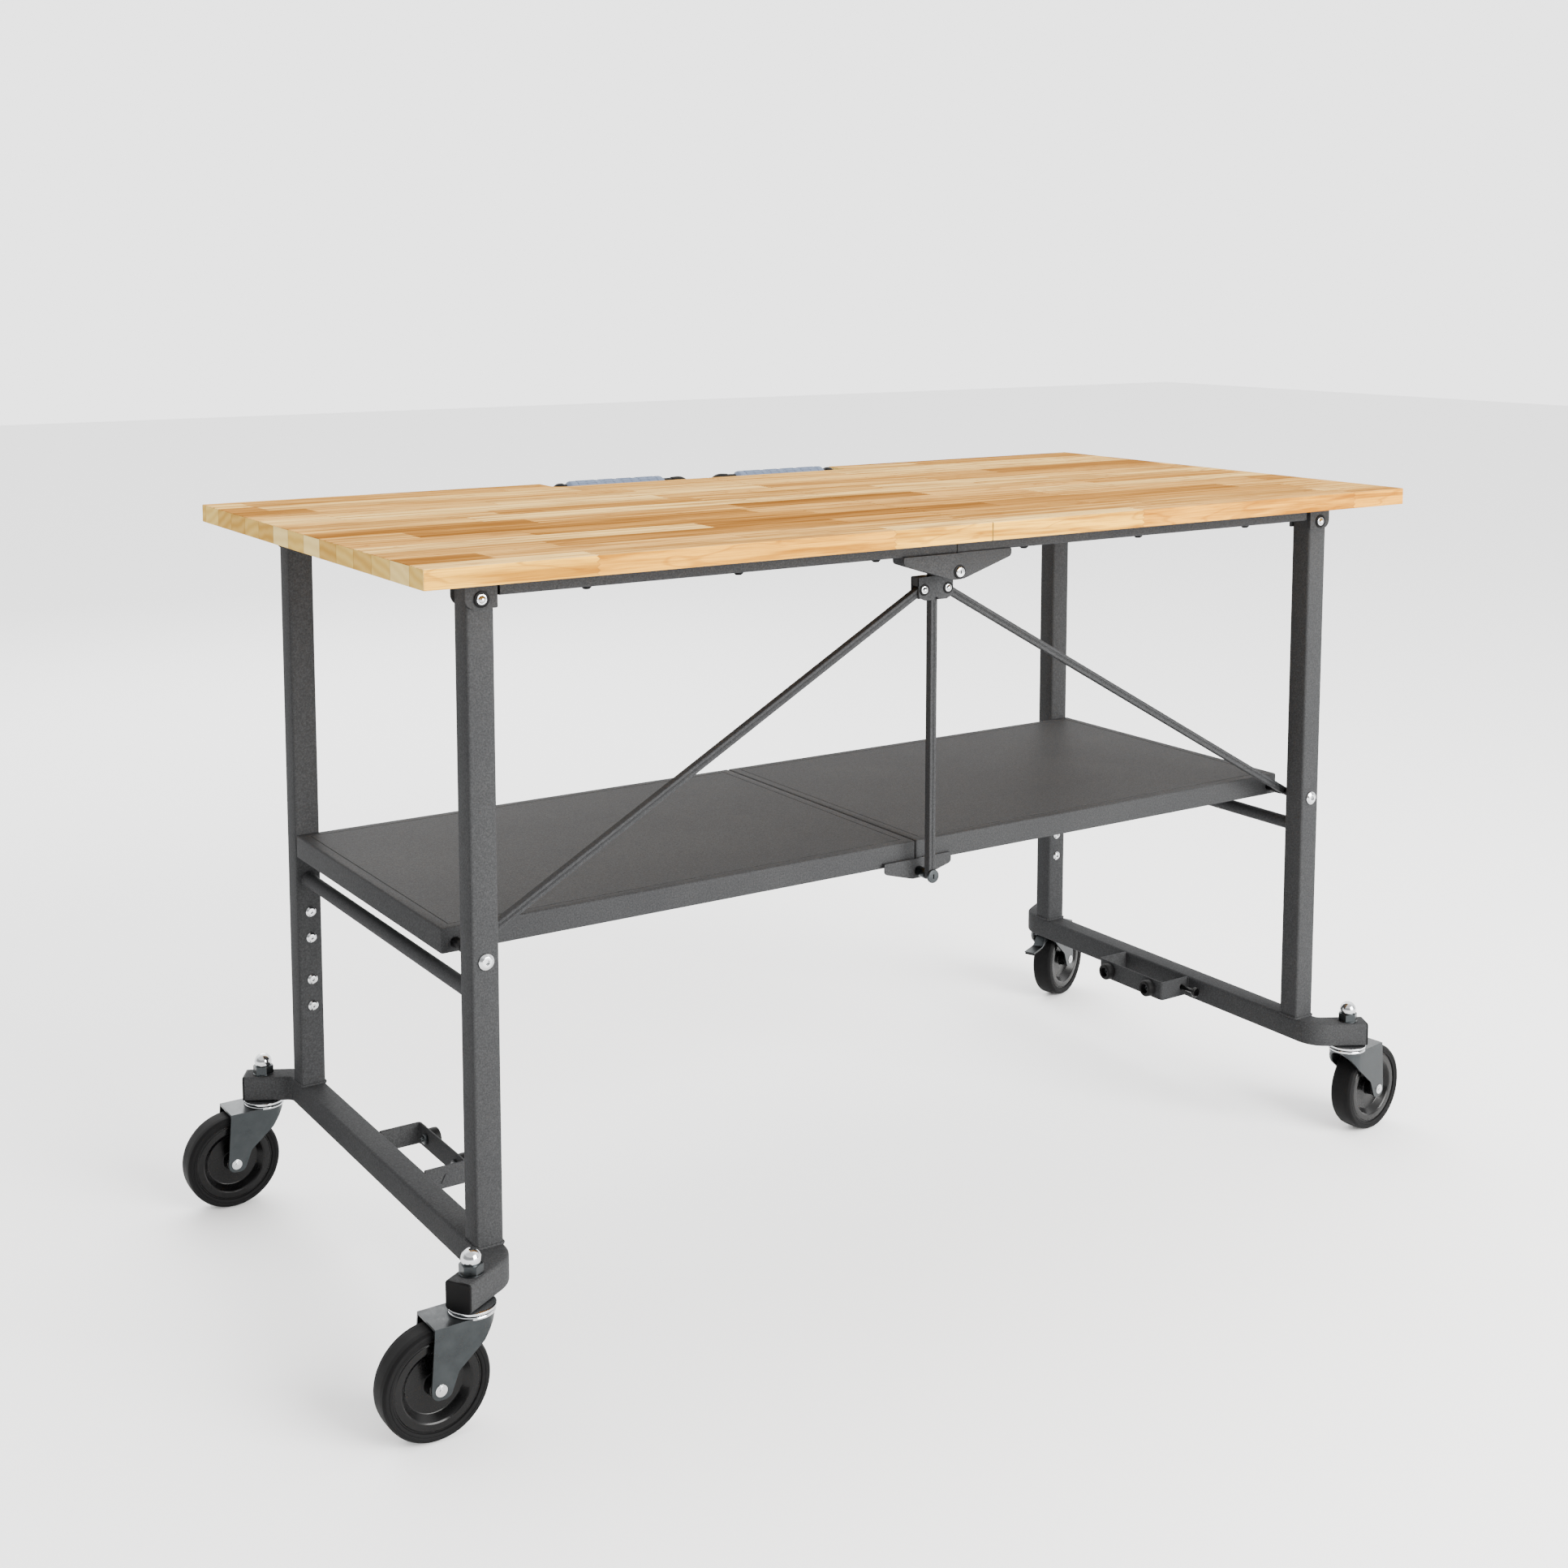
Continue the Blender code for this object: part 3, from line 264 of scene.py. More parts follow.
@dataclass(frozen=True)
class ButcherBlock:
    """Staves of finger-jointed hardwood glued side by side, with the grain along X."""

    name: str = "Butcher block"
    slot: str = "butcher_block"
    stave: float = 0.0455
    block: float = 0.25
    finger: float = 0.0055
    slant: float = 1.3
    roughness: float = 0.56
    block_tones: tuple = (
        (0.00, (0.600, 0.390, 0.130)), (0.22, (0.520, 0.305, 0.088)), (0.42, (0.420, 0.225, 0.058)),
        (0.60, (0.480, 0.265, 0.072)), (0.78, (0.330, 0.160, 0.036)), (1.00, (0.230, 0.102, 0.022)),
    )
    ring_tones: tuple = ((0.0, (0.600, 0.450, 0.150)), (0.55, (0.470, 0.310, 0.080)),
                         (1.0, (0.300, 0.165, 0.034)))
    end_tones: tuple = ((0.0, (0.640, 0.500, 0.230)), (0.5, (0.500, 0.330, 0.085)),
                        (1.0, (0.370, 0.200, 0.044)))
    pale_grain: Point = (1.20, 1.22, 1.24)
    dark_grain: Point = (0.58, 0.49, 0.40)
    # Painted shade: a darker, more golden tint for the faces that look along Y.
    front_edge: Point = (0.98, 0.80, 0.26)
    growth_line: Point = (0.190, 0.070, 0.018)
    fibre_shade: Point = (0.170, 0.066, 0.018)
    pore_shade: Point = (0.120, 0.046, 0.014)
    glue_shade: Point = (0.120, 0.048, 0.015)
    joint_shade: Point = (0.150, 0.062, 0.020)

    def build(self) -> bpy.types.Material:
        """The material: blocks with their own shade and grain, zigzag ends, rings on the end faces, and
        painted shade on the faces along Y.
        """
        g = Graph(self.name)
        # Values such as 1.3, 3.7, 5.0 and 37.0 only keep the random draws of rows and blocks apart.
        x, y, z = g.split(g.position)
        row_place = g.math("DIVIDE", g.math("ADD", y, 1.3), self.stave)
        row = g.math("FLOOR", row_place)
        across = g.math("FRACT", row_place)
        row_random, row_colour = g.dice(g.join(row, 3.7, 0.0))
        saw = g.math("PINGPONG", g.math("ADD", y, z), self.finger / 2)
        jag = g.math("MULTIPLY", saw, self.slant)
        length = g.math("MULTIPLY_ADD", row_random, 0.16, self.block)
        offset = g.math("MULTIPLY_ADD", row_random, 1.7, 5.0)
        along = g.math("DIVIDE", g.math("ADD", g.math("ADD", x, jag), offset), length)
        cell = g.math("FLOOR", along)
        shade, pick = g.dice(g.join(cell, row, 1.3))
        shift = g.node("ShaderNodeVectorMath", operation="SCALE")
        g.feed(shift.inputs[0], pick)
        shift.inputs["Scale"].default_value = 37.0

        def grain(scale: Point, *settings: float) -> Socket:
            """Noise drawn out along the grain, placed anew in each block."""
            return g.noise(g.stretched(g.position, scale, shift.outputs[0]), 1.0, *settings)

        broad = grain((1.8, 40.0, 30.0), 3.0, 0.55, 0.4)
        narrow = grain((5.5, 170.0, 120.0), 4.0, 0.62, 0.3)
        streak = g.math("ADD", g.math("MULTIPLY", broad, 0.40), g.math("MULTIPLY", narrow, 0.60))
        swirl = grain((4.2, 26.0, 26.0), 2.0, 0.5, 1.6)
        fibre = grain((14.0, 900.0, 700.0), 3.0, 0.6)
        pore = grain((34.0, 1900.0, 1500.0), 1.0)

        tone = g.ramp(shade, self.block_tones)
        light = g.mix(1.0, tone, self.pale_grain, "MULTIPLY")
        dark = g.mix(1.0, tone, self.dark_grain, "MULTIPLY")
        body = g.mix(g.between(streak, 0.42, 0.60), light, dark)
        bands = g.between(swirl, 0.47, 0.53, 0.0, 1.0)
        edge = g.math("MULTIPLY", bands, g.math("SUBTRACT", 1.0, bands))
        body = g.mix(g.math("MULTIPLY", edge, 1.6), body, self.growth_line)
        body = g.mix(g.between(fibre, 0.38, 0.80, 0.0, 0.46), body, self.fibre_shade)
        body = g.mix(g.between(pore, 0.68, 0.80, 0.0, 0.40), body, self.pore_shade)

        ring_place = g.stretched(g.position, (0.0, 1.0, 1.0), g.stretched(row_colour, (0.0, 0.06, 0.05)))
        rings = g.node("ShaderNodeTexWave", wave_type="RINGS", rings_direction="X")
        for name, value in (("Vector", ring_place), ("Scale", 26.0), ("Distortion", 3.6), ("Detail", 2.0)):
            g.feed(rings.inputs[name], value)
        ring_value = g.math("ADD", g.math("MULTIPLY", rings.outputs["Fac"], 0.6),
                            g.math("MULTIPLY", row_random, 0.4))
        end_shade = g.mix(0.6, g.ramp(ring_value, self.ring_tones), g.ramp(row_random, self.end_tones))
        facing_x, facing_y, _ = g.split(g.node("ShaderNodeTexCoord").outputs["Normal"])
        on_end = g.between(g.math("ABSOLUTE", facing_x), 0.72, 0.86)
        body = g.mix(on_end, body, end_shade)
        # Painted shade: faces along Y, the front and back edges, get a darker, more golden copy of the wood
        # to offset how brightly the front light washes them out.
        on_front = g.between(g.math("ABSOLUTE", facing_y), 0.72, 0.86)
        body = g.mix(on_front, body, g.mix(1.0, body, self.front_edge, "MULTIPLY"))

        seam = g.math("ABSOLUTE", g.math("SUBTRACT", across, 0.5))
        glue = g.between(seam, 0.480, 0.499, 0.0, 0.55)
        body = g.mix(glue, body, self.glue_shade)
        butt = g.math("ABSOLUTE", g.math("SUBTRACT", g.math("FRACT", along), 0.5))
        joint = g.math("MULTIPLY", g.between(butt, 0.4975, 0.4995, 0.0, 0.45),
                       g.math("SUBTRACT", 1.0, on_end))
        body = g.mix(joint, body, self.joint_shade)
        g.set(Base_Color=body, Specular_IOR_Level=0.0)
        g.set(Roughness=g.between(streak, 0.3, 0.7, self.roughness - 0.05, self.roughness + 0.08))
        relief = g.math("ADD", g.math("MULTIPLY", fibre, 0.6), g.math("MULTIPLY", glue, -1.2))
        g.bump(g.math("ADD", relief, g.math("MULTIPLY", pore, 0.3)), 0.00018, 0.45)
        return g.material


@dataclass(frozen=True)
class PlatedSteel:
    """Zinc or nickel plate, brushed or bright."""

    name: str
    slot: str
    colour: Point
    roughness: float
    scratch: float = 0.5

    def build(self) -> bpy.types.Material:
        """The material: plate with a faint grain, cloudy tone and handling marks."""
        g = Graph(self.name)
        cloud = g.noise(g.position, 60.0, 4.0, 0.6)
        fine = g.noise(g.stretched(g.position, (500.0, 500.0, 2400.0)), 1.0, 2.0)
        dark = tuple(value * 0.82 for value in self.colour)
        g.set(Base_Color=g.ramp(cloud, [(0.32, dark), (0.66, self.colour)]), Metallic=1.0)
        marks = g.math("ADD", g.math("MULTIPLY", cloud, 0.6), g.math("MULTIPLY", fine, 0.4))
        g.set(Roughness=g.between(marks, 0.3, 0.7, self.roughness * 0.8, self.roughness * 1.3))
        g.bump(fine, 0.00003, self.scratch)
        return g.material


@dataclass(frozen=True)
class Rubber:
    """Moulded rubber or plastic, from matte to glossy."""

    name: str
    slot: str
    colour: Point
    roughness: float
    grain: float = 900.0
    depth: float = 0.00012
    dust: float = 0.25
    coat: float = 0.0
    shine: float = 0.06

    def build(self) -> bpy.types.Material:
        """The material: a moulded skin with fine grain and a little dust."""
        g = Graph(self.name)
        skin = g.noise(g.position, self.grain, 2.0, 0.6)
        cloud = g.noise(g.position, 34.0, 4.0, 0.62)
        pale = tuple(min(1.0, value * 1.4 + 0.0025) for value in self.colour)
        dusty = g.mix(g.between(cloud, 0.42, 0.75, 0.0, self.dust), self.colour, pale)
        worn = tuple(value * 0.75 for value in self.colour)
        g.set(Base_Color=g.mix(g.between(skin, 0.3, 0.8, 0.0, 0.25), dusty, worn))
        g.set(Roughness=g.between(cloud, 0.3, 0.7, self.roughness - 0.05, self.roughness + 0.08))
        g.set(Coat_Weight=self.coat, Coat_Roughness=0.12, Specular_IOR_Level=self.shine)
        g.bump(skin, self.depth, 0.5)
        return g.material


@dataclass(frozen=True)
class StudioPaper:
    """The pale paper floor of the studio."""

    name: str = "Studio paper"
    colour: Point = (0.93, 0.93, 0.93)

    def build(self) -> bpy.types.Material:
        """The material: matte paper with a barely seen tooth."""
        g = Graph(self.name)
        tooth = g.noise(g.position, 240.0, 2.0)
        dark = tuple(value * 0.985 for value in self.colour)
        g.set(Base_Color=g.mix(tooth, dark, self.colour), Roughness=0.92, Specular_IOR_Level=0.1)
        return g.material


class Finish(Enum):
    """Every finish on the bench."""

    POWDER = PowderCoat()
    WOOD = ButcherBlock()
    ZINC = PlatedSteel("Bright zinc", "zinc", (0.038, 0.042, 0.044), 0.32)
    NICKEL = PlatedSteel("Polished nickel", "chrome", (0.52, 0.53, 0.54), 0.12, 0.2)
    BLACK = Rubber("Glossy black moulding", "black_plastic", (0.0014, 0.0014, 0.0015), 0.26, 700.0, 0.00004,
                   0.04, 0.08, 0.14)
    CAP = Rubber("Black end cap", "black_plastic", (0.0030, 0.0030, 0.0032), 0.42, 900.0, 0.00010, 0.18)
    ROD = Rubber("Black coated rod", "black_rod", (0.0065, 0.006, 0.0055), 0.42, 1100.0, 0.00008, 0.20)
    TYRE = Rubber("Tyre rubber", "tyre_rubber", (0.0042, 0.0042, 0.0044), 0.60, 1200.0, 0.00012, 0.35)
    GRIP = Rubber("Blue-grey grip", "grip_rubber", (0.105, 0.130, 0.185), 0.60, 1000.0, 0.00014, 0.20)
    BUMPER = Rubber("Black bumper rubber", "bumper_rubber", (0.005, 0.005, 0.0052), 0.50, 1000.0, 0.00012,
                    0.25)


# Shaping


def arc(centre: Point, radius: float, start: float, end: float, steps: int) -> list[Point]:
    """Points along an arc, both ends included."""
    angles = [start + (end - start) * step / steps for step in range(steps + 1)]
    return [(centre[0] + radius * cos(a), centre[1] + radius * sin(a)) for a in angles]


def rounded(corners: Sequence[Point], steps: int = 6, closed: bool = True) -> list[Point]:
    """An outline whose corners, given as (x, y, radius), are filleted.

    Args:
        corners: The corners in order; a radius of zero or none keeps a corner sharp.
        steps: The segments in each fillet.
        closed: Whether the last corner joins the first.

    Returns:
        The outline's points.
    """
    points: list[Point] = []
    corners = [corner for index, corner in enumerate(corners)
               if not index
               or hypot(corner[0] - corners[index - 1][0], corner[1] - corners[index - 1][1]) > 1e-6]
    for index, corner in enumerate(corners):
        radius = corner[2] if len(corner) > 2 else 0.0
        inner = closed or 0 < index < len(corners) - 1
        if not radius or not inner:
            points.append((corner[0], corner[1]))
            continue
        here = Vector(corner[:2])
        back = (Vector(corners[index - 1][:2]) - here).normalized()
        ahead = (Vector(corners[(index + 1) % len(corners)][:2]) - here).normalized()
        half = back.angle(ahead) / 2
        centre = here + (back + ahead).normalized() * radius / sin(half)
        first = here + back * radius / tan(half) - centre
        last = here + ahead * radius / tan(half) - centre
        start = atan2(first.y, first.x)
        sweep = (atan2(last.y, last.x) - start + pi) % (2 * pi) - pi
        points += arc(centre, radius, start, start + sweep, steps)
    return points


def square(half: float, corner: float, steps: int, x: float = 0.0, y: float = 0.0) -> list[Point]:
    """A square outline with round corners."""
    signs = ((1, 1), (-1, 1), (-1, -1), (1, -1))
    return rounded([(x + a * half, y + b * half, corner) for a, b in signs], steps)


def mirrored(profile: Sequence[Point]) -> list[Point]:
    """A profile turned upside down and run backwards, to follow the first."""
    return [(point[0], -point[1], *point[2:]) for point in reversed(profile)]


def soft(profile: Sequence[Point], radius: float = 0.0004, steps: int = 2) -> list[Point]:
    """A turned profile with its inner corners lightly rounded; a third value sets a corner's own radius."""
    shaped = []
    for index, corner in enumerate(profile):
        if len(corner) > 2:
            shaped.append(corner)
            continue
        room = radius
        for other in (profile[max(index - 1, 0)], profile[min(index + 1, len(profile) - 1)]):
            gap = hypot(other[0] - corner[0], other[1] - corner[1])
            if gap > 0:
                room = min(room, gap * 0.3)
        shaped.append((corner[0], corner[1], room))
    return rounded(shaped, steps, closed=False)


def aim(direction: Point) -> Matrix:
    """The rotation that takes +Z to a direction."""
    return Vector((0, 0, 1)).rotation_difference(Vector(direction)).to_matrix().to_4x4()


def turned(profile: Sequence[Point], at: Point, towards: Point, steps: int = 40,
           ring: bool = False) -> bmesh.types.BMesh:
    """A turned body.

    Args:
        profile: Radius and height pairs, from the end that faces `towards`.
        at: Where the profile's zero height stands.
        towards: The axis direction.
        steps: Segments round the axis.
        ring: Whether the profile closes on itself.

    Returns:
        The body in bench coordinates.
    """
    bm = bmesh.new()
    verts = [bm.verts.new((point[0], 0, point[1])) for point in profile]
    pairs = list(zip(verts, verts[1:])) + ([(verts[-1], verts[0])] if ring else [])
    edges = [bm.edges.new(pair) for pair in pairs]
    bmesh.ops.spin(bm, geom=verts + edges, cent=(0, 0, 0), axis=(0, 0, 1), angle=2 * pi, steps=steps,
                   use_merge=True, use_duplicate=False)
    bmesh.ops.remove_doubles(bm, verts=bm.verts, dist=1e-6)
    bmesh.ops.dissolve_degenerate(bm, dist=1e-7, edges=bm.edges)
    bmesh.ops.recalc_face_normals(bm, faces=bm.faces)
    bmesh.ops.transform(bm, matrix=Matrix.Translation(at) @ aim(towards), verts=bm.verts)
    return bm


def shank(radius: float, top: float, bottom: float, at: Point, towards: Point,
          steps: int = 24) -> bmesh.types.BMesh:
    """A plain round bar between two heights along its axis."""
    return turned([(0, top), (radius, top), (radius, bottom), (0, bottom)], at, towards, steps)


def bush(bore: float, radius: float, height: float, at: Point, towards: Point, edge: float = 0.0003,
         steps: int = 32) -> bmesh.types.BMesh:
    """A washer or a sleeve that stands up from its seat."""
    profile = [(bore, height), (radius, height), (radius, 0), (bore, 0)]
    return turned(soft(profile, edge), at, towards, steps, ring=True)


def plate(outline: Sequence[Point], low: float, high: float, holes: Sequence[Sequence[Point]] = (),
          facing: str = "Z") -> bmesh.types.BMesh:
    """A flat plate with holes.

    Args:
        outline: The outer edge, as X and Y, or as X and Z when it faces Y.
        low: Its lower face.
        high: Its upper face.
        holes: The edges of its holes.
        facing: "Z" or "Y".

    Returns:
        The plate in bench coordinates.
    """
    bm = bmesh.new()
    edges = []
    for loop in [outline, *holes]:
        verts = [bm.verts.new((point[0], point[1], 0)) for point in loop]
        edges += [bm.edges.new(pair) for pair in zip(verts, verts[1:] + verts[:1])]
    bmesh.ops.triangle_fill(bm, use_beauty=True, use_dissolve=not holes, edges=edges, normal=(0, 0, 1))
    grown = bmesh.ops.extrude_face_region(bm, geom=list(bm.faces))["geom"]
    moved = [item for item in grown if isinstance(item, bmesh.types.BMVert)]
    bmesh.ops.translate(bm, verts=moved, vec=(0, 0, high - low))
    bmesh.ops.recalc_face_normals(bm, faces=bm.faces)
    if facing == "Y":
        place = Matrix.Translation((0, high, 0)) @ Matrix.Rotation(pi / 2, 4, "X")
    else:
        place = Matrix.Translation((0, 0, low))
    bmesh.ops.transform(bm, matrix=place, verts=bm.verts)
    return bm


def circle(x: float, y: float, radius: float, steps: int = 28) -> list[Point]:
    """A round hole's edge."""
    return arc((x, y), radius, 0, 2 * pi * (steps - 1) / steps, steps - 1)


def block(low: Point, high: Point) -> bmesh.types.BMesh:
    """A box between two corners."""
    bm = bmesh.new()
    lows = [min(a, b) for a, b in zip(low, high)]
    highs = [max(a, b) for a, b in zip(low, high)]
    size, middle = Vector(highs) - Vector(lows), (Vector(highs) + Vector(lows)) / 2
    bmesh.ops.create_cube(bm, matrix=Matrix.Translation(middle) @ Matrix.Diagonal((*size, 1)))
    return bm


def square_tube(stops: Sequence[Point], section: float, corner: float, bend: float = 0.0,
                wall: float = 0.0015, bend_steps: int = 14) -> bmesh.types.BMesh:
    """An open square tube along stops in the XY plane, with bends at its inner stops and its wall inside.

    Args:
        stops: Points along the centre line.
        section: Its outside width.
        corner: The radius of its long edges.
        bend: The bend radius at the inner stops.
        wall: Its wall thickness.
        bend_steps: Segments in each bend.

    Returns:
        The tube round the plane z = 0.
    """
    places = [Vector((*stop, 0)) for stop in stops]
    headings = [(b - a).normalized() for a, b in zip(places, places[1:])]
    across = Vector((-headings[0].y, headings[0].x, 0))
    half = section / 2
    ring = square(half, corner, 4)
    bm = bmesh.new()
    verts = [bm.verts.new(places[0] + across * a + Vector((0, 0, b))) for a, b in ring]
    edges = [bm.edges.new(pair) for pair in zip(verts, verts[1:] + verts[:1])]
    taken = 0.0
    for index, heading in enumerate(headings):
        turn = 0.0
        if index + 1 < len(headings):
            turn = heading.to_2d().angle_signed(headings[index + 1].to_2d()) * -1
        tangent = bend * tan(abs(turn) / 2)
        run = (places[index + 1] - places[index]).length - taken - tangent
        grown = bmesh.ops.extrude_edge_only(bm, edges=edges)["geom"]
        moved = [item for item in grown if isinstance(item, bmesh.types.BMVert)]
        bmesh.ops.translate(bm, verts=moved, vec=heading * run)
        edges = [item for item in grown if isinstance(item, bmesh.types.BMEdge) and len(item.link_faces) == 1]
        edges = [edge for edge in edges if all(vert in moved for vert in edge.verts)]
        taken = tangent
        if turn:
            inward = Vector((-heading.y, heading.x, 0)) * (1 if turn > 0 else -1)
            centre = places[index + 1] - heading * tangent + inward * bend
            swept = bmesh.ops.spin(bm, geom=edges, cent=centre, axis=(0, 0, 1), angle=turn, steps=bend_steps,
                                   use_duplicate=False)
            edges = [item for item in swept["geom_last"] if isinstance(item, bmesh.types.BMEdge)]
    bmesh.ops.remove_doubles(bm, verts=bm.verts, dist=1e-6)
    bmesh.ops.recalc_face_normals(bm, faces=bm.faces)
    first = bm.faces[0]
    if first.normal.dot(first.calc_center_median() - places[0]) < 0:
        bmesh.ops.reverse_faces(bm, faces=bm.faces)
    bmesh.ops.solidify(bm, geom=list(bm.faces), thickness=wall)
    bmesh.ops.recalc_face_normals(bm, faces=bm.faces)
    return bm


def rod(points: Sequence[Point], radius: float, resolution: int = 5) -> bmesh.types.BMesh:
    """A round rod along points, with its ends capped."""
    data = bpy.data.curves.new("rod", "CURVE")
    data.dimensions = "3D"
    data.bevel_depth = radius
    data.bevel_resolution = resolution
    data.use_fill_caps = True
    spline = data.splines.new("POLY")
    spline.points.add(len(points) - 1)
    for point, place in zip(spline.points, points):
        point.co = (*place, 1)
    obj = bpy.data.objects.new("rod", data)
    bpy.context.scene.collection.objects.link(obj)
    bpy.context.view_layer.update()
    mesh = bpy.data.meshes.new_from_object(obj.evaluated_get(bpy.context.evaluated_depsgraph_get()))
    bpy.data.objects.remove(obj, do_unlink=True)
    bm = bmesh.new()
    bm.from_mesh(mesh)
    bpy.data.meshes.remove(mesh)
    bmesh.ops.remove_doubles(bm, verts=bm.verts, dist=1e-6)
    bmesh.ops.recalc_face_normals(bm, faces=bm.faces)
    return bm


def smooth_path(points: Sequence[Point], per_span: int = 6) -> list[Point]:
    """Points on a smooth curve through the given ones."""
    places = [Vector(point) for point in points]
    padded = [places[0] * 2 - places[1], *places, places[-1] * 2 - places[-2]]
    result = []
    for a, b, c, d in zip(padded, padded[1:], padded[2:], padded[3:]):
        for step in range(per_span):
            t = step / per_span
            result.append(tuple(0.5 * (2 * b + (c - a) * t + (2 * a - 5 * b + 4 * c - d) * t * t
                                       + (3 * b - a - 3 * c + d) * t ** 3)))
    return [*result, tuple(places[-1])]


def joined(*bodies: bmesh.types.BMesh) -> bmesh.types.BMesh:
    """Several bodies in one mesh."""
    whole = bmesh.new()
    for body in bodies:
        mesh = bpy.data.meshes.new("part")
        body.to_mesh(mesh)
        body.free()
        whole.from_mesh(mesh)
        bpy.data.meshes.remove(mesh)
    return whole


def carved(body: bmesh.types.BMesh, *steps: tuple[str, bmesh.types.BMesh]) -> bmesh.types.BMesh:
    """A body after Boolean steps, each an operation and a tool body."""
    def linked(bm: bmesh.types.BMesh) -> bpy.types.Object:
        """A temporary object for a body."""
        mesh = bpy.data.meshes.new("carve")
        bm.to_mesh(mesh)
        bm.free()
        obj = bpy.data.objects.new("carve", mesh)
        bpy.context.scene.collection.objects.link(obj)
        return obj

    base, tools = linked(body), []
    for operation, tool in steps:
        tools.append(linked(tool))
        change = base.modifiers.new("carve", "BOOLEAN")
        change.operation, change.solver, change.object = operation, "EXACT", tools[-1]
    bpy.context.view_layer.update()
    mesh = bpy.data.meshes.new_from_object(base.evaluated_get(bpy.context.evaluated_depsgraph_get()))
    for obj in [base, *tools]:
        bpy.data.objects.remove(obj, do_unlink=True)
    result = bmesh.new()
    result.from_mesh(mesh)
    bpy.data.meshes.remove(mesh)
    bmesh.ops.remove_doubles(result, verts=result.verts, dist=1e-6)
    return result


def head_body(style: Head, radius: float, height: float, at: Point, towards: Point) -> bmesh.types.BMesh:
    """A fastener head.

    Args:
        style: The kind of head.
        radius: Its outer radius.
        height: How far it stands out.
        at: The middle of its seat.
        towards: The way it faces.

    Returns:
        The head's body.
    """
    if style is Head.NUT:
        hexagon = bmesh.new()
        corner = radius * 1.155
        bmesh.ops.create_cone(hexagon, cap_ends=True, segments=6, radius1=corner, radius2=corner,
                              depth=height, matrix=Matrix.Translation((0, 0, height / 2)))
        cone = turned([(0, height + 0.001), (radius * 0.2, height + 0.001), (radius * 1.02, height),
                       (radius * 1.30, height - radius * 0.16), (radius * 1.30, -0.001), (0, -0.001)],
                      (0, 0, 0), (0, 0, 1), 48)
        bolt, tip, root = radius * 0.50, height + 0.0009, height - 0.001
        profile = soft([(0, tip), (bolt, tip), (bolt, root), (0, root)], 0.0003)
        stub = turned(profile, (0, 0, 0), (0, 0, 1), 24)
        body = joined(carved(hexagon, ("INTERSECT", cone)), stub)
        bmesh.ops.transform(body, matrix=Matrix.Translation(at) @ aim(towards), verts=body.verts)
        return body
    if style is Head.DOME:
        top = height - 0.0012
        sphere = (radius * 0.74) ** 2 / (2 * top) + top / 2
        dome = arc((0, height - sphere), sphere, pi / 2, acos(min(1.0, radius * 0.74 / sphere)), 8)
        profile = dome + [(radius * 0.74, 0.0012), (radius, 0.0012), (radius, 0), (0, 0)]
        return turned([dome[0], *soft(profile[1:], 0.0003)], at, towards)
    if style is Head.PAN:
        profile = [(0, height), (radius * 0.6, height, height * 0.3), (radius, height * 0.4, height * 0.3),
                   (radius, 0), (0, 0)]
        return turned(rounded(profile, 5, closed=False), at, towards)
    profile = [(0, height), (radius * 0.62, height, radius * 0.25), (radius, height * 0.42, height * 0.2),
               (radius, 0), (0, 0)]
    if style is Head.SLOTTED:
        profile = soft([(0, height), (radius - 0.0008, height), (radius, height - 0.0008), (radius, 0),
                        (0, 0)], 0.0003)
        slot = block((-0.0008, -radius * 0.34, height * 0.4), (0.0008, radius * 0.34, height * 1.5))
        body = carved(turned(profile, (0, 0, 0), (0, 0, 1)), ("DIFFERENCE", slot))
    else:
        socket = bmesh.new()
        bmesh.ops.create_cone(socket, cap_ends=True, segments=6, radius1=radius * 0.36, radius2=radius * 0.36,
                              depth=height, matrix=Matrix.Translation((0, 0, height * 0.85)))
        body = carved(turned(rounded(profile, 5, closed=False), (0, 0, 0), (0, 0, 1)), ("DIFFERENCE", socket))
    bmesh.ops.transform(body, matrix=Matrix.Translation(at) @ aim(towards), verts=body.verts)
    return body


# Bench bookkeeping


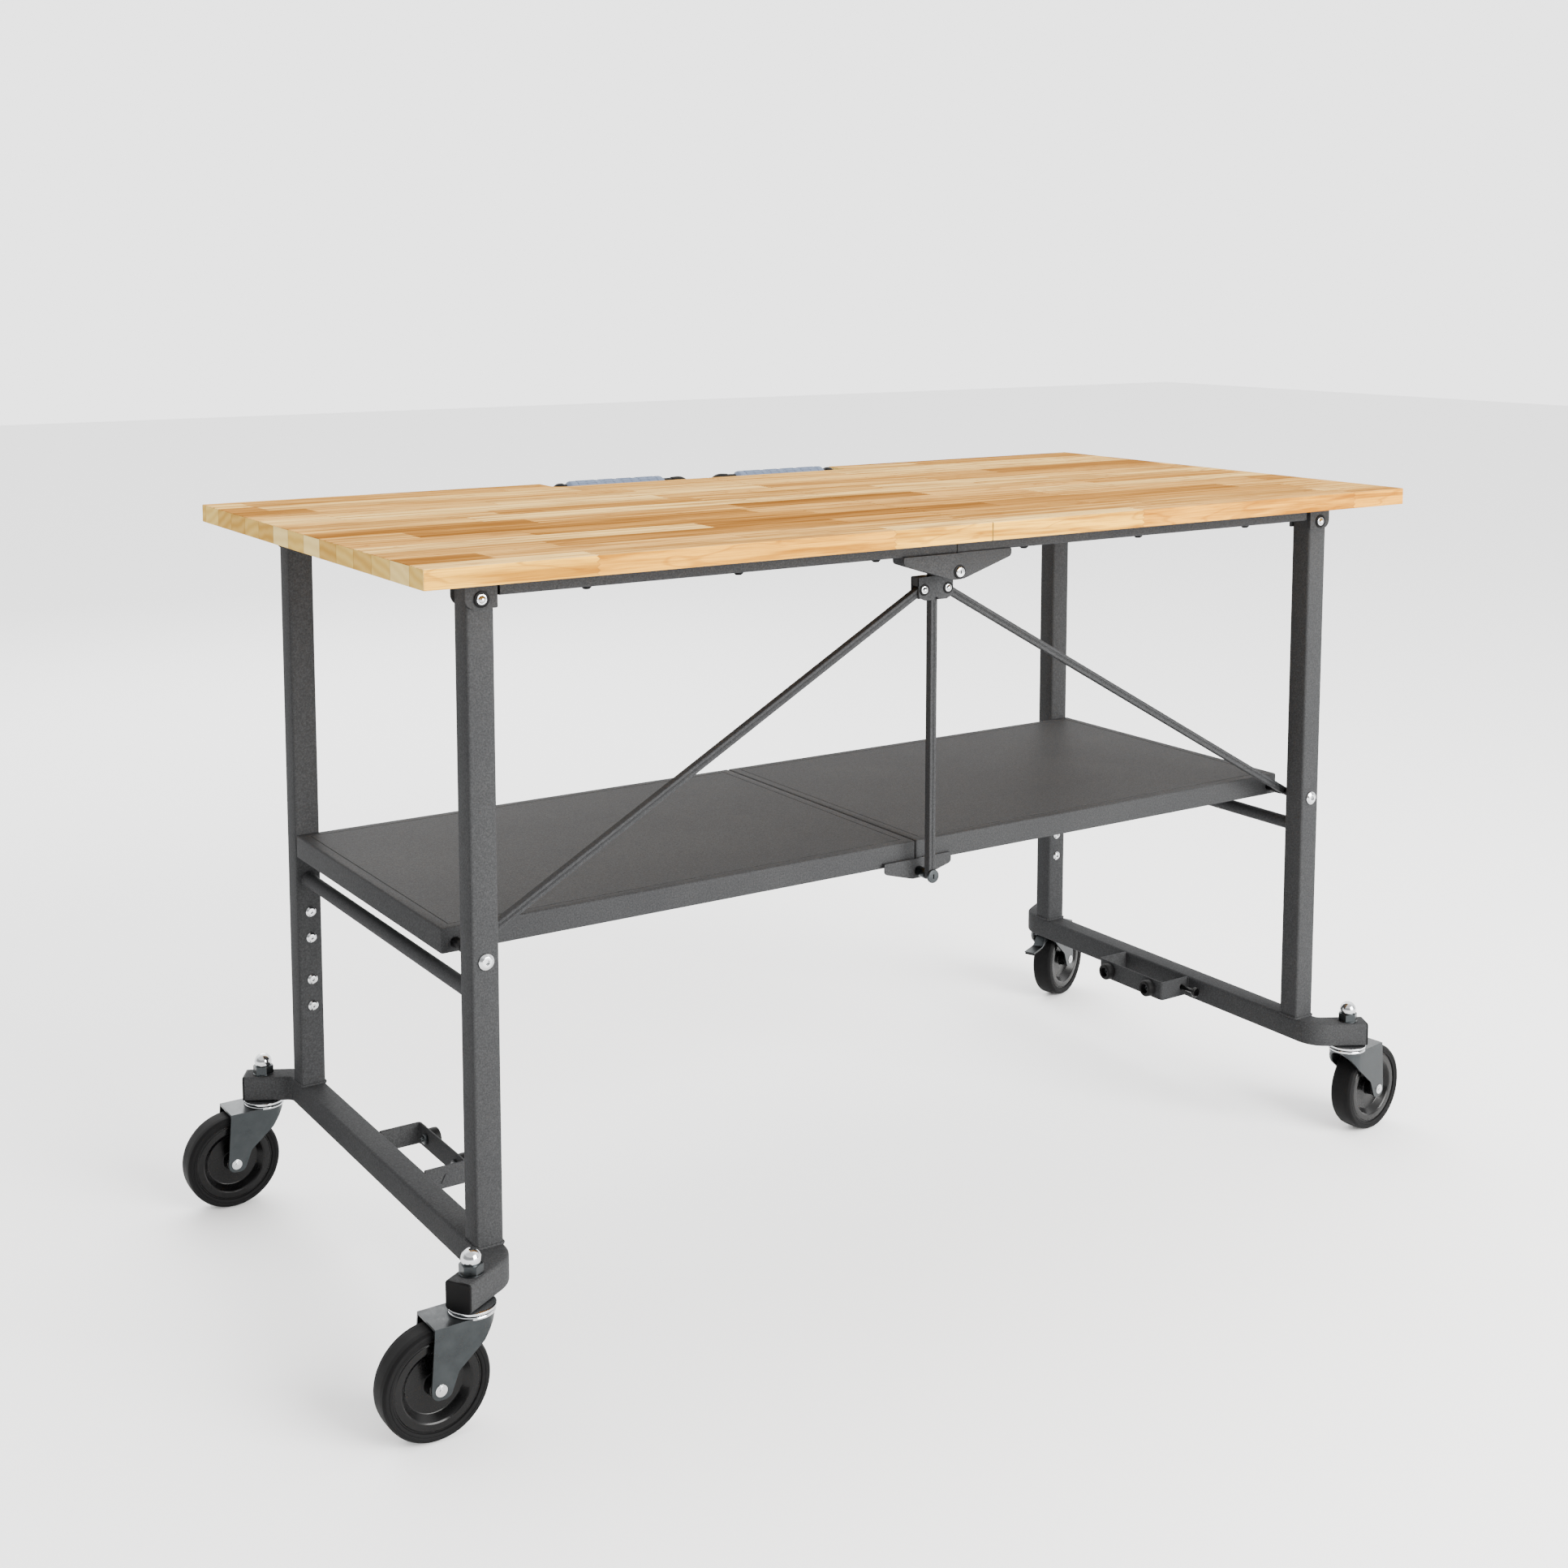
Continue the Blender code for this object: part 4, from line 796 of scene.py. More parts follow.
class Bench:
    """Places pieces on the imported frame, measured from the floor under the middle of the boards."""

    def __init__(self) -> None:
        """Read where the boards' middle stands in the frame."""
        low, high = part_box("left_board")[0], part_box("right_board")[1]
        self.shift = Vector(((low.x + high.x) / 2, (low.y + high.y) / 2, 0))
        self.top = high.z
        self.materials: dict[Finish, bpy.types.Material] = {}
        self.count = 0

    def paint(self, finish: Finish) -> bpy.types.Material:
        """The material of a finish, built once."""
        if finish not in self.materials:
            self.materials[finish] = finish.value.build()
        return self.materials[finish]

    def span(self, node: str) -> tuple[Vector, Vector]:
        """A node's corners in bench coordinates."""
        low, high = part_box(node)
        return low - self.shift, high - self.shift

    def middle(self, node: str) -> Vector:
        """A node's middle in bench coordinates."""
        low, high = self.span(node)
        return (low + high) / 2

    def add(self, name: str, body: bmesh.types.BMesh, rides: str, finish: Finish, edge: float = 0.0,
            stands_for: Iterable[str] = (), segments: int = 2, angle: float = 38.0) -> bpy.types.Object:
        """Make a body into a finished piece of the bench.

        Args:
            name: The piece's name.
            body: Its shape in bench coordinates.
            rides: The frame body that it moves with.
            finish: Its finish.
            edge: The width of its rounded edges, or zero for none.
            stands_for: The nodes that it replaces.
            segments: Segments in each rounded edge.
            angle: The least angle between faces that counts as an edge, in degrees.

        Returns:
            The piece.
        """
        mesh = bpy.data.meshes.new(name)
        bmesh.ops.translate(body, verts=body.verts, vec=self.shift)
        body.to_mesh(mesh)
        body.free()
        obj = bpy.data.objects.new(name, mesh)
        bpy.context.scene.collection.objects.link(obj)
        mesh.materials.append(self.paint(finish))
        for polygon in mesh.polygons:
            polygon.use_smooth = True
        if edge:
            soften = obj.modifiers.new("edges", "BEVEL")
            soften.width, soften.segments, soften.profile = edge, segments, 0.5
            soften.limit_method, soften.angle_limit = "ANGLE", radians(angle)
            soften.harden_normals, soften.use_clamp_overlap = True, True
        else:
            mesh.set_sharp_from_angle(angle=radians(angle))
        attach(obj, rides)
        if stands_for:
            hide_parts(*stands_for)
        self.count += 1
        LOG.info("%s: %d faces, %s", name, len(mesh.polygons), finish.value.name)
        return obj


# The top


@dataclass
class BoardHalf:
    """One half of the butcher-block top, with its handle."""

    side: Side
    notch_depth: float = 0.0455
    notch_corner: float = 0.012
    arris: float = 0.0011
    notch_length: float = 0.222
    grip_radius: float = 0.0133
    bow_radius: float = 0.0058
    hump: float = 0.0052
    ribs: int = 9

    def build(self, bench: Bench) -> None:
        """Make the board, the bow and the grip."""
        word, s = self.side.word, self.side.value
        low, high = bench.span(word + "_board")
        seam, outer = (low.x, high.x) if s > 0 else (high.x, low.x)
        inner_y = high.y - self.notch_depth
        outline = rounded([
            (seam, low.y), (outer, low.y, 0.0015), (outer, high.y, 0.0015),
            (s * self.notch_length, high.y, 0.003),
            (s * self.notch_length, inner_y, self.notch_corner), (seam, inner_y),
        ], 5)
        bench.add(word + "_board_wood", plate(outline, low.z, high.z), word + "_top", Finish.WOOD, self.arris,
                  [word + "_board"], 3, 30)
        self.bow(bench)
        self.grip(bench)

    def bow(self, bench: Bench) -> None:
        """The bent rod that carries the grip."""
        word, s = self.side.word, self.side.value
        low, high = bench.span(word + "_handle_bow")
        grip = bench.middle(word + "_handle_grip")
        near = min(abs(low.x), abs(high.x)) + self.bow_radius
        far = max(abs(low.x), abs(high.x)) - self.bow_radius
        foot = low.z + self.bow_radius
        rise = grip.z - foot
        half = [(0, low.y + 0.001, foot), (0, grip.y - 0.020, foot), (0, grip.y - 0.0105, foot + rise * 0.02),
                (0, grip.y - 0.0030, foot + rise * 0.22), (0.0008, grip.y - 0.0002, foot + rise * 0.52),
                (0.0040, grip.y, foot + rise * 1.02), (0.0115, grip.y, grip.z + self.hump),
                (0.024, grip.y, grip.z + self.hump), (0.036, grip.y, grip.z + self.hump * 0.8)]
        path = [(near + x, y, z) for x, y, z in half] + [(far - x * 0.6, y, z) for x, y, z in reversed(half)]
        path = smooth_path([(s * x, y, z) for x, y, z in path], 5)
        bench.add(word + "_bow_rod", rod(path, self.bow_radius, 6), word + "_top", Finish.ROD, 0,
                  [word + "_handle_bow"])
        lugs = []
        for x in (near, far):
            plate_low = (s * x - 0.0095, low.y - 0.0030, foot - self.bow_radius - 0.0022)
            plate_high = (s * x + 0.0095, low.y + 0.0165, foot - self.bow_radius + 0.0002)
            lugs.append(block(plate_low, plate_high))
        bench.add(word + "_bow_lugs", joined(*lugs), word + "_top", Finish.ROD, 0.0008)

    def grip(self, bench: Bench) -> None:
        """The moulded sleeve: end collars, lengthwise ribs on the back and shallow finger rings."""
        word = self.side.word
        low, high = bench.span(word + "_handle_grip")
        middle, half, r = (low + high) / 2, (high.x - low.x) / 2, self.grip_radius
        valley, ridge, ribbed = r * 0.93, r * 0.975, half - 0.0135
        profile: list[Point] = [(self.bow_radius + 0.0004, half), (r * 0.70, half), (r * 0.97, half - 0.0045),
                                (r, half - 0.0065), (r, half - 0.0120), (valley, ribbed)]
        gap = ribbed / self.ribs
        for index in range(self.ribs):
            centre = ribbed * (1 - 2 * (index + 0.5) / self.ribs)
            profile += [(valley, centre + gap * 0.92), (ridge, centre + gap * 0.70),
                        (ridge, centre - gap * 0.70), (valley, centre - gap * 0.92)]
        body = turned(soft(profile + mirrored(profile[:6]), 0.0006), middle, (1, 0, 0), 48, ring=True)
        fins = []
        for turn in (-0.50, -0.17, 0.17, 0.50):
            angle = pi / 2 + turn * 1.15
            place = middle + Vector((0, cos(angle), sin(angle))) * valley
            for start, stop in ((-0.80, -0.42), (-0.34, -0.04), (0.04, 0.34), (0.42, 0.80)):
                fin = block((-0.5, -0.0008, -0.0006), (0.5, 0.0008, 0.0011))
                span = half * (stop - start)
                matrix = Matrix.Translation(place + Vector((half * (start + stop) / 2, 0, 0)))
                matrix = matrix @ Matrix.Rotation(angle - pi / 2, 4, "X") @ Matrix.Diagonal((span, 1, 1, 1))
                bmesh.ops.transform(fin, matrix=matrix, verts=fin.verts)
                fins.append(fin)
        bench.add(word + "_grip_sleeve", joined(body, *fins), word + "_top", Finish.GRIP, 0.0004,
                  [word + "_handle_grip"], 2, 50)


@dataclass
class TopRail:
    """A square rail under one board half, with its leg clevis and its half of the centre hinge."""

    side: Side
    end: End
    section: float = 0.020
    corner: float = 0.0024
    wall: float = 0.0014
    outer_end: float = 0.5505
    sheet: float = 0.002
    eye: float = 0.0085
    hinge_length: float = 0.0755
    hinge_stand: float = 0.0042
    hinge_depth: float = 0.021
    screw_places: tuple[float, ...] = (0.103, 0.277, 0.453)

    @property
    def place(self) -> str:
        """The start of this corner's node names."""
        return f"{self.side.word}_{self.end.word}_"

    def build(self, bench: Bench) -> None:
        """Make the rail, its clevis, its hinge cheeks, its bolt and its screws."""
        s, e = self.side.value, self.end.value
        body = self.side.word + "_top"
        _, high = bench.span(self.place + "rail")
        leg_low, leg_high = bench.span(self.place + "leg")
        pivot = bench.middle(self.place + "top_pivot_bolt")
        pin = bench.middle(f"{self.end.word}_top_hinge_pin")
        outer_leg = leg_low.y if e < 0 else leg_high.y
        centre_y = outer_leg - e * self.section / 2
        stops = [(s * self.outer_end, 0), (s * 0.0006, 0)]
        tube = square_tube(stops, self.section, self.corner, wall=self.wall)
        bmesh.ops.translate(tube, verts=tube.verts, vec=(0, centre_y, high.z - self.section / 2))
        self.piece(bench, "rail_tube", tube, body, Finish.POWDER, 0, [self.place + "rail"])
        self.clevis(bench, body, pivot, (leg_low, leg_high), high.z - 0.0002)
        self.cheeks(bench, body, pin, outer_leg, high.z - self.section)
        screw_z = high.z - self.section + 0.0002
        screws = [head_body(Head.PAN, 0.0052, 0.0034, (s * x, centre_y, screw_z), (0, 0, -1))
                  for x in self.screw_places]
        self.piece(bench, "board_screws", joined(*screws), body, Finish.CAP, 0)
        self.bolt(bench, body, pivot)

    def piece(self, bench: Bench, word: str, shape: bmesh.types.BMesh, body: str, finish: Finish, edge: float,
              stands_for: Iterable[str] = (), angle: float = 38.0) -> None:
        """Add a piece named for this corner."""
        bench.add(self.place + word, shape, body, finish, edge, stands_for, 2, angle)

    def clevis(self, bench: Bench, body: str, pivot: Vector, leg: tuple[Vector, Vector], top: float) -> None:
        """The bent bracket that straddles the leg's top."""
        s, e = self.side.value, self.end.value
        drop = pivot.z - 0.0092
        outline = rounded([(pivot.x - s * 0.017, top), (pivot.x - s * 0.017, drop, 0.0012),
                           (pivot.x + s * 0.0165, drop, 0.0105), (pivot.x + s * 0.0165, top, 0.002)], 8)
        hole = [circle(pivot.x, pivot.z, PIN_HOLE)]
        shapes = []
        for face, away in ((leg[0].y if e < 0 else leg[1].y, e), (leg[1].y if e < 0 else leg[0].y, -e)):
            near = face + away * 0.0008
            ys = sorted((near, near + away * self.sheet))
            shapes.append(plate(outline, ys[0], ys[1], hole, "Y"))
        shapes.append(block((pivot.x - s * 0.0325, leg[0].y - 0.0026, top - self.sheet),
                            (pivot.x + s * 0.0160, leg[1].y + 0.0026, top - 0.0001)))
        self.piece(bench, "leg_clevis", joined(*shapes), body, Finish.POWDER, 0.0006)

    def cheeks(self, bench: Bench, body: str, pin: Vector, outer_leg: float, under: float) -> None:
        """The tapered channel that carries the centre pin."""
        s, e = self.side.value, self.end.value
        inset = 0.0 if s < 0 else self.sheet + 0.0003
        face = outer_leg + e * (self.hinge_stand - inset)
        back = outer_leg + e * (self.hinge_stand - self.hinge_depth + inset)
        eye, length = self.eye, self.hinge_length
        outline = rounded([
            (-s * eye, pin.z - eye, eye * 0.8), (s * eye, pin.z - eye, eye * 0.8),
            (s * length, under - 0.0078, 0.0052), (s * length, under + 0.0006, 0.0015),
            (s * 0.001, under + 0.0006), (-s * eye, pin.z + 0.002, 0.004)], 7)
        shapes = []
        for near, away in ((face, -e), (back, e)):
            ys = sorted((near, near + away * self.sheet))
            shapes.append(plate(outline, ys[0], ys[1], [circle(0, pin.z, PIN_HOLE)], "Y"))
        ys = sorted((face - e * 0.0002, back + e * 0.0002))
        shapes.append(block((s * (length - 0.0006), ys[0], under - 0.0010),
                            (s * 0.0008, ys[1], under + 0.0005)))
        self.piece(bench, "hinge_channel", joined(*shapes), body, Finish.POWDER, 0.0006)

    def bolt(self, bench: Bench, body: str, pivot: Vector) -> None:
        """The pivot bolt with its domed head outside and its nut inside."""
        e = self.end.value
        low, high = bench.span(self.place + "top_pivot_bolt")
        outer, inner = (low.y, high.y) if e < 0 else (high.y, low.y)
        seat = outer - e * 0.0040
        shapes = [
            head_body(Head.DOME, 0.0052, 0.0040, (pivot.x, seat + e * 0.0003, pivot.z), (0, e, 0)),
            shank(PIN_RADIUS, 0, 0.001 - abs(seat - inner), (pivot.x, seat, pivot.z), (0, e, 0)),
            head_body(Head.NUT, 0.0050, 0.0036, (pivot.x, inner + e * 0.0038, pivot.z), (0, -e, 0)),
        ]
        self.piece(bench, "clevis_bolt", joined(*shapes), body, Finish.NICKEL, 0,
                   [self.place + "top_pivot_bolt"])
        washer = bush(0.0042, 0.0080, 0.0012, (pivot.x, seat + e * 0.0001, pivot.z), (0, e, 0), 0.0004, 40)
        self.piece(bench, "bolt_washer", washer, body, Finish.CAP, 0)


# The frames


@dataclass
class LegFrame:
    """One end frame: two legs, a base rail bent outwards at both ends, a cross bar and a latch bracket."""

    side: Side
    tube: float = 0.029
    corner: float = 0.0032
    bend: float = radians(60)
    bend_radius: float = 0.024
    bead: float = 0.0016
    strap: float = 0.0021
    rivet_drops: tuple[float, ...] = (0.4745, 0.5055, 0.5557, 0.5876)

    @property
    def body(self) -> str:
        """The frame body's name."""
        return self.side.word + "_frame"

    def build(self, bench: Bench) -> None:
        """Make every piece of the frame."""
        for end in End:
            self.leg(bench, end)
            self.stem(bench, end)
            self.bumper(bench, end)
            self.shelf_bolt(bench, end)
        self.base(bench)
        self.cross_bar(bench)
        self.bracket(bench)

    def leg(self, bench: Bench, end: End) -> None:
        """A leg, its top cap, the weld at its foot and its rivets."""
        place = f"{self.side.word}_{end.word}_"
        low, high = bench.span(place + "leg")
        x, y = (low.x + high.x) / 2, (low.y + high.y) / 2
        tube = square_tube([(0, low.z - 0.0002), (0, high.z)], self.tube, self.corner)
        matrix = Matrix.Translation((x, y, 0)) @ Matrix.Rotation(pi / 2, 4, "X")
        bmesh.ops.transform(tube, matrix=matrix, verts=tube.verts)
        bench.add(place + "leg_tube", tube, self.body, Finish.POWDER, 0, [place + "leg"])
        half = self.tube / 2 - 0.0006
        cap = plate(square(half, 0.0026, 5, x, y), high.z - 0.0004, high.z + 0.0018)
        bench.add(place + "leg_cap", cap, self.body, Finish.CAP, 0.0007)
        self.weld(bench, place + "leg_weld", (x, y, low.z), self.tube / 2 + 0.0004)
        inner = -end.value
        face = low.y if inner < 0 else high.y
        rivet_x, rivet_y = x + self.side.value * -0.0012, face - inner * 0.0001
        rivets = [head_body(Head.BUTTON, 0.0062, 0.0030, (rivet_x, rivet_y, bench.top - drop), (0, inner, 0))
                  for drop in self.rivet_drops]
        bench.add(place + "leg_rivets", joined(*rivets), self.body, Finish.NICKEL, 0)

    def weld(self, bench: Bench, name: str, at: Point, half: float) -> None:
        """A rippled bead round the foot of a tube."""
        corner = self.corner + 0.0004
        ring = square(half, corner, 5)
        dense: list[Point] = []
        for a, b in zip(ring, ring[1:] + ring[:1]):
            steps = max(1, int(hypot(b[0] - a[0], b[1] - a[1]) / self.bead))
            dense += [(a[0] + (b[0] - a[0]) * k / steps, a[1] + (b[1] - a[1]) * k / steps)
                      for k in range(steps)]
        path = [(at[0] + x * (1 + 0.010 * sin(i * 1.9)), at[1] + y * (1 + 0.010 * cos(i * 2.3)),
                 at[2] + 0.0002 + 0.0004 * sin(i * 2.1)) for i, (x, y) in enumerate(dense)]
        bench.add(name, rod([*path, path[0]], self.bead, 2), self.body, Finish.POWDER, 0, (), 2, 60)

    def base(self, bench: Bench) -> None:
        """The base rail with its end caps."""
        s = self.side.value
        leg_x = bench.middle(f"{self.side.word}_front_leg").x
        stem = bench.middle(f"{self.side.word}_rear_caster_stem")
        low, high = bench.span(self.side.word + "_base_rail")
        reach_x, reach_y = abs(stem.x), stem.y
        slope = (reach_x - abs(leg_x)) / sin(self.bend)
        corner_y = reach_y - slope * cos(self.bend)
        cap = 0.020
        end_x, end_y = reach_x + cap * sin(self.bend), reach_y + cap * cos(self.bend)
        stops = [(s * end_x, -end_y), (leg_x, -corner_y), (leg_x, corner_y), (s * end_x, end_y)]
        z = (low.z + high.z) / 2
        tube = square_tube(stops, self.tube, self.corner, self.bend_radius)
        bmesh.ops.translate(tube, verts=tube.verts, vec=(0, 0, z))
        bench.add(self.side.word + "_base_tube", tube, self.body, Finish.POWDER, 0,
                  [self.side.word + "_base_rail"])
        caps = []
        half = self.tube / 2
        for e in (-1, 1):
            ring = square(half, 0.0034, 5)
            lid = plate(ring, -0.0006, 0.0024)
            inner = plate(rounded([(a * 0.86, b * 0.86) for a, b in ring[::6]], 1), -0.008, -0.0002)
            cap_body = joined(lid, inner)
            heading = Vector((s * sin(self.bend), e * cos(self.bend), 0))
            outwards = heading.to_track_quat("Z", "Y").to_matrix().to_4x4()
            matrix = Matrix.Translation((s * end_x, e * end_y, z)) @ outwards
            bmesh.ops.transform(cap_body, matrix=matrix, verts=cap_body.verts)
            caps.append(cap_body)
        bench.add(self.side.word + "_base_caps", joined(*caps), self.body, Finish.CAP, 0.0009)

    def cross_bar(self, bench: Bench) -> None:
        """The round bar between the legs, with a weld collar at each end."""
        node = self.side.word + "_cross_bar"
        low, high = bench.span(node)
        middle = (low + high) / 2
        half, r = (high.y - low.y) / 2, (high.z - low.z) / 2
        profile = [(0, half), (r + 0.0012, half), (r + 0.0018, half - 0.0016, 0.0010),
                   (r, half - 0.0038, 0.0015), (r, 0)]
        profile += mirrored(profile[:-1])
        body = turned(rounded(profile, 3, closed=False), middle, (0, 1, 0), 36)
        bench.add(self.side.word + "_round_bar", body, self.body, Finish.POWDER, 0, [node])

    def bracket(self, bench: Bench) -> None:
        """The bent strap that holds the bumpers."""
        s = self.side.value
        node = self.side.word + "_latch_bracket"
        low, high = bench.span(node)
        wall, face = (high.x, low.x) if s > 0 else (low.x, high.x)
        t, span = self.strap, high.y
        outline = rounded([
            (wall, -span), (face, -span, 0.004), (face, span, 0.004), (wall, span), (wall, span - t),
            (face + s * t, span - t, 0.002), (face + s * t, -span + t, 0.002), (wall, -span + t)], 6)
        strap = plate(outline, low.z, high.z)
        pin = bench.middle("latch_pin")
        if s > 0:
            drill = shank(PIN_HOLE, 0.01, -0.01, (pin.x, -span, pin.z), (0, -1, 0))
            strap = carved(strap, ("DIFFERENCE", drill))
        bench.add(self.side.word + "_latch_strap", strap, self.body, Finish.POWDER, 0.0006, [node])
        foot = []
        for e in (-1, 1):
            foot.append(block((wall - s * 0.0012, e * span, low.z + 0.001),
                              (wall + s * 0.0004, e * (span + 0.0022), high.z - 0.001)))
        bench.add(self.side.word + "_latch_welds", joined(*foot), self.body, Finish.POWDER, 0.0009, (), 3)
        if s < 0:
            mark = plate(rounded([(face - 0.030, low.z + 0.006, 0.001), (face - 0.018, low.z + 0.006, 0.001),
                                  (face - 0.024, low.z + 0.017, 0.001)], 3), -span - 0.0011, -span + 0.0004,
                         facing="Y")
            bench.add("left_latch_tongue", mark, self.body, Finish.POWDER, 0.0004)

    def bumper(self, bench: Bench, end: End) -> None:
        """A cupped rubber bumper, its screw and its nut."""
        s = self.side.value
        node = f"{self.side.word}_{end.word}_bumper"
        low, high = bench.span(node)
        y, z = (low.y + high.y) / 2, (low.z + high.z) / 2
        mouth, seat = (low.x, high.x) if s > 0 else (high.x, low.x)
        length, r = abs(seat - mouth), (high.z - low.z) / 2
        profile = rounded([(0, 0.0045 - length), (0.0058, 0.0045 - length, 0.0006), (0.0064, -0.0006, 0.0008),
                           (r - 0.0022, 0, 0.0009), (r - 0.0003, -0.0016, 0.0012), (r, -length * 0.45, 0.002),
                           (r - 0.0004, -length + 0.0008, 0.0006), (r - 0.0014, -length, 0.0005),
                           (0, -length)], 4, False)
        bench.add(node + "_rubber", turned(profile, (mouth, y, z), (-s, 0, 0)), self.body, Finish.BUMPER, 0,
                  [node])
        inside = seat + s * 0.0026
        screw = [head_body(Head.BUTTON, 0.0046, 0.0022, (mouth + s * (length - 0.0046), y, z), (-s, 0, 0)),
                 head_body(Head.NUT, 0.0050, 0.0040, (inside, y, z), (s, 0, 0)),
                 shank(0.0025, 0, -0.0125, (seat - s * 0.003, y, z), (-s, 0, 0), 20)]
        bench.add(node + "_screw", joined(*screw), self.body, Finish.ZINC, 0)

    def shelf_bolt(self, bench: Bench, end: End) -> None:
        """The bolt through the leg that carries the shelf and, in front, a brace."""
        e = end.value
        node = f"{self.side.word}_{end.word}_shelf_pivot_bolt"
        low, high = bench.span(node)
        x, z = (low.x + high.x) / 2, (low.z + high.z) / 2
        outer, inner = (low.y, high.y) if e < 0 else (high.y, low.y)
        seat = outer - e * 0.0036
        run = abs(seat - inner)
        leg_low, leg_high = bench.span(f"{self.side.word}_{end.word}_leg")
        wall = leg_high.y if e < 0 else leg_low.y
        shapes = [
            head_body(Head.BUTTON, 0.0082, 0.0036, (x, seat, z), (0, e, 0)),
            shank(PIN_RADIUS, 0, 0.0012 - run, (x, seat, z), (0, e, 0)),
            head_body(Head.NUT, 0.0050, 0.0032, (x, inner + e * 0.0034, z), (0, -e, 0)),
        ]
        if e < 0:
            brace_low, brace_high = bench.span(self.side.word + "_brace")
            runs = ((wall + 0.0002, brace_low.y - SLIDE_GAP), (brace_high.y + SLIDE_GAP, inner - 0.0058))
            sleeves = [bush(SLEEVE_BORE, 0.0054, stop - start, (x, start, z), (0, 1, 0))
                       for start, stop in runs]
            bench.add(node + "_sleeves", joined(*sleeves), self.body, Finish.CAP, 0)
        bench.add(node + "_set", joined(*shapes), self.body, Finish.NICKEL, 0, [node])

    def stem(self, bench: Bench, end: End) -> None:
        """The fixed part of a caster: upper race, stem, washer and acorn nut."""
        node = f"{self.side.word}_{end.word}_caster_stem"
        low, high = bench.span(node)
        x, y = (low.x + high.x) / 2, (low.y + high.y) / 2
        rail_low, rail_high = bench.span(self.side.word + "_base_rail")
        seat = rail_high.z
        ball = high.z - 0.0100
        dome = arc((0, ball), 0.0100, pi / 2, -0.62, 12)
        nut_top = seat + 0.0104
        profile = dome + [(0.0088, nut_top - 0.0006), (0.0060, nut_top - 0.0010), (0, nut_top - 0.0010)]
        crown = turned(profile, (x, y, 0), (0, 0, 1), 44)
        hexagon = head_body(Head.NUT, 0.0104, 0.0092, (x, y, seat + 0.0012), (0, 0, 1))
        washer = bush(0.0061, 0.0118, 0.0012, (x, y, seat), (0, 0, 1), steps=40)
        bench.add(node + "_acorn", crown, self.body, Finish.NICKEL, 0, [node])
        bench.add(node + "_hexagon", joined(hexagon, washer), self.body, Finish.ZINC, 0)
        top, bottom = rail_low.z - 0.0001, low.z + 0.0042
        race = soft([(0.0060, top), (0.0215, top), (0.0238, top - 0.0008), (0.0238, bottom + 0.0004),
                     (0.0222, bottom), (0.0060, bottom)], 0.0004, 3)
        bar = shank(0.0058, seat + 0.002, low.z, (x, y, 0), (0, 0, 1), 28)
        bench.add(node + "_race", joined(turned(race, (x, y, 0), (0, 0, 1), 56, ring=True), bar), self.body,
                  Finish.NICKEL, 0)


@dataclass
class LatchPin:
    """The spring pin that locks the folded frames together."""

    head_radius: float = 0.0064
    spring_radius: float = 0.0052
    wire: float = 0.0006
    turns: int = 6
    turn_steps: int = 16

    def build(self, bench: Bench) -> None:
        """Make the pin with its knob, and the spring on the bracket."""
        low, high = bench.span("latch_pin")
        x, z = (low.x + high.x) / 2, (low.z + high.z) / 2
        run = high.y - low.y
        r = self.head_radius
        profile = rounded([(0, 0), (r - 0.0012, 0, 0.0010), (r, -0.0012, 0.0008), (r, -0.0034, 0.0006),
                           (0.0042, -0.0052, 0.0010), (0.0030, -0.0085, 0.0008),
                           (0.0030, -run + 0.001, 0.0003), (0.0020, -run), (0, -run)], 4, False)
        bench.add("latch_pin_knob", turned(profile, (x, low.y, z), (0, -1, 0)), "latch_pin", Finish.BLACK, 0,
                  ["latch_pin"])
        strap_low, _ = bench.span("right_latch_bracket")
        start, stop = strap_low.y + 0.0032, high.y - 0.0005
        steps = self.turns * self.turn_steps
        angles = [2 * pi * k / self.turn_steps for k in range(steps + 1)]
        coil = [(x + self.spring_radius * cos(angle), start + (stop - start) * k / steps,
                 z + self.spring_radius * sin(angle)) for k, angle in enumerate(angles)]
        bench.add("latch_spring", rod(coil, self.wire, 2), "right_frame", Finish.ZINC, 0)


# The shelf and its linkage


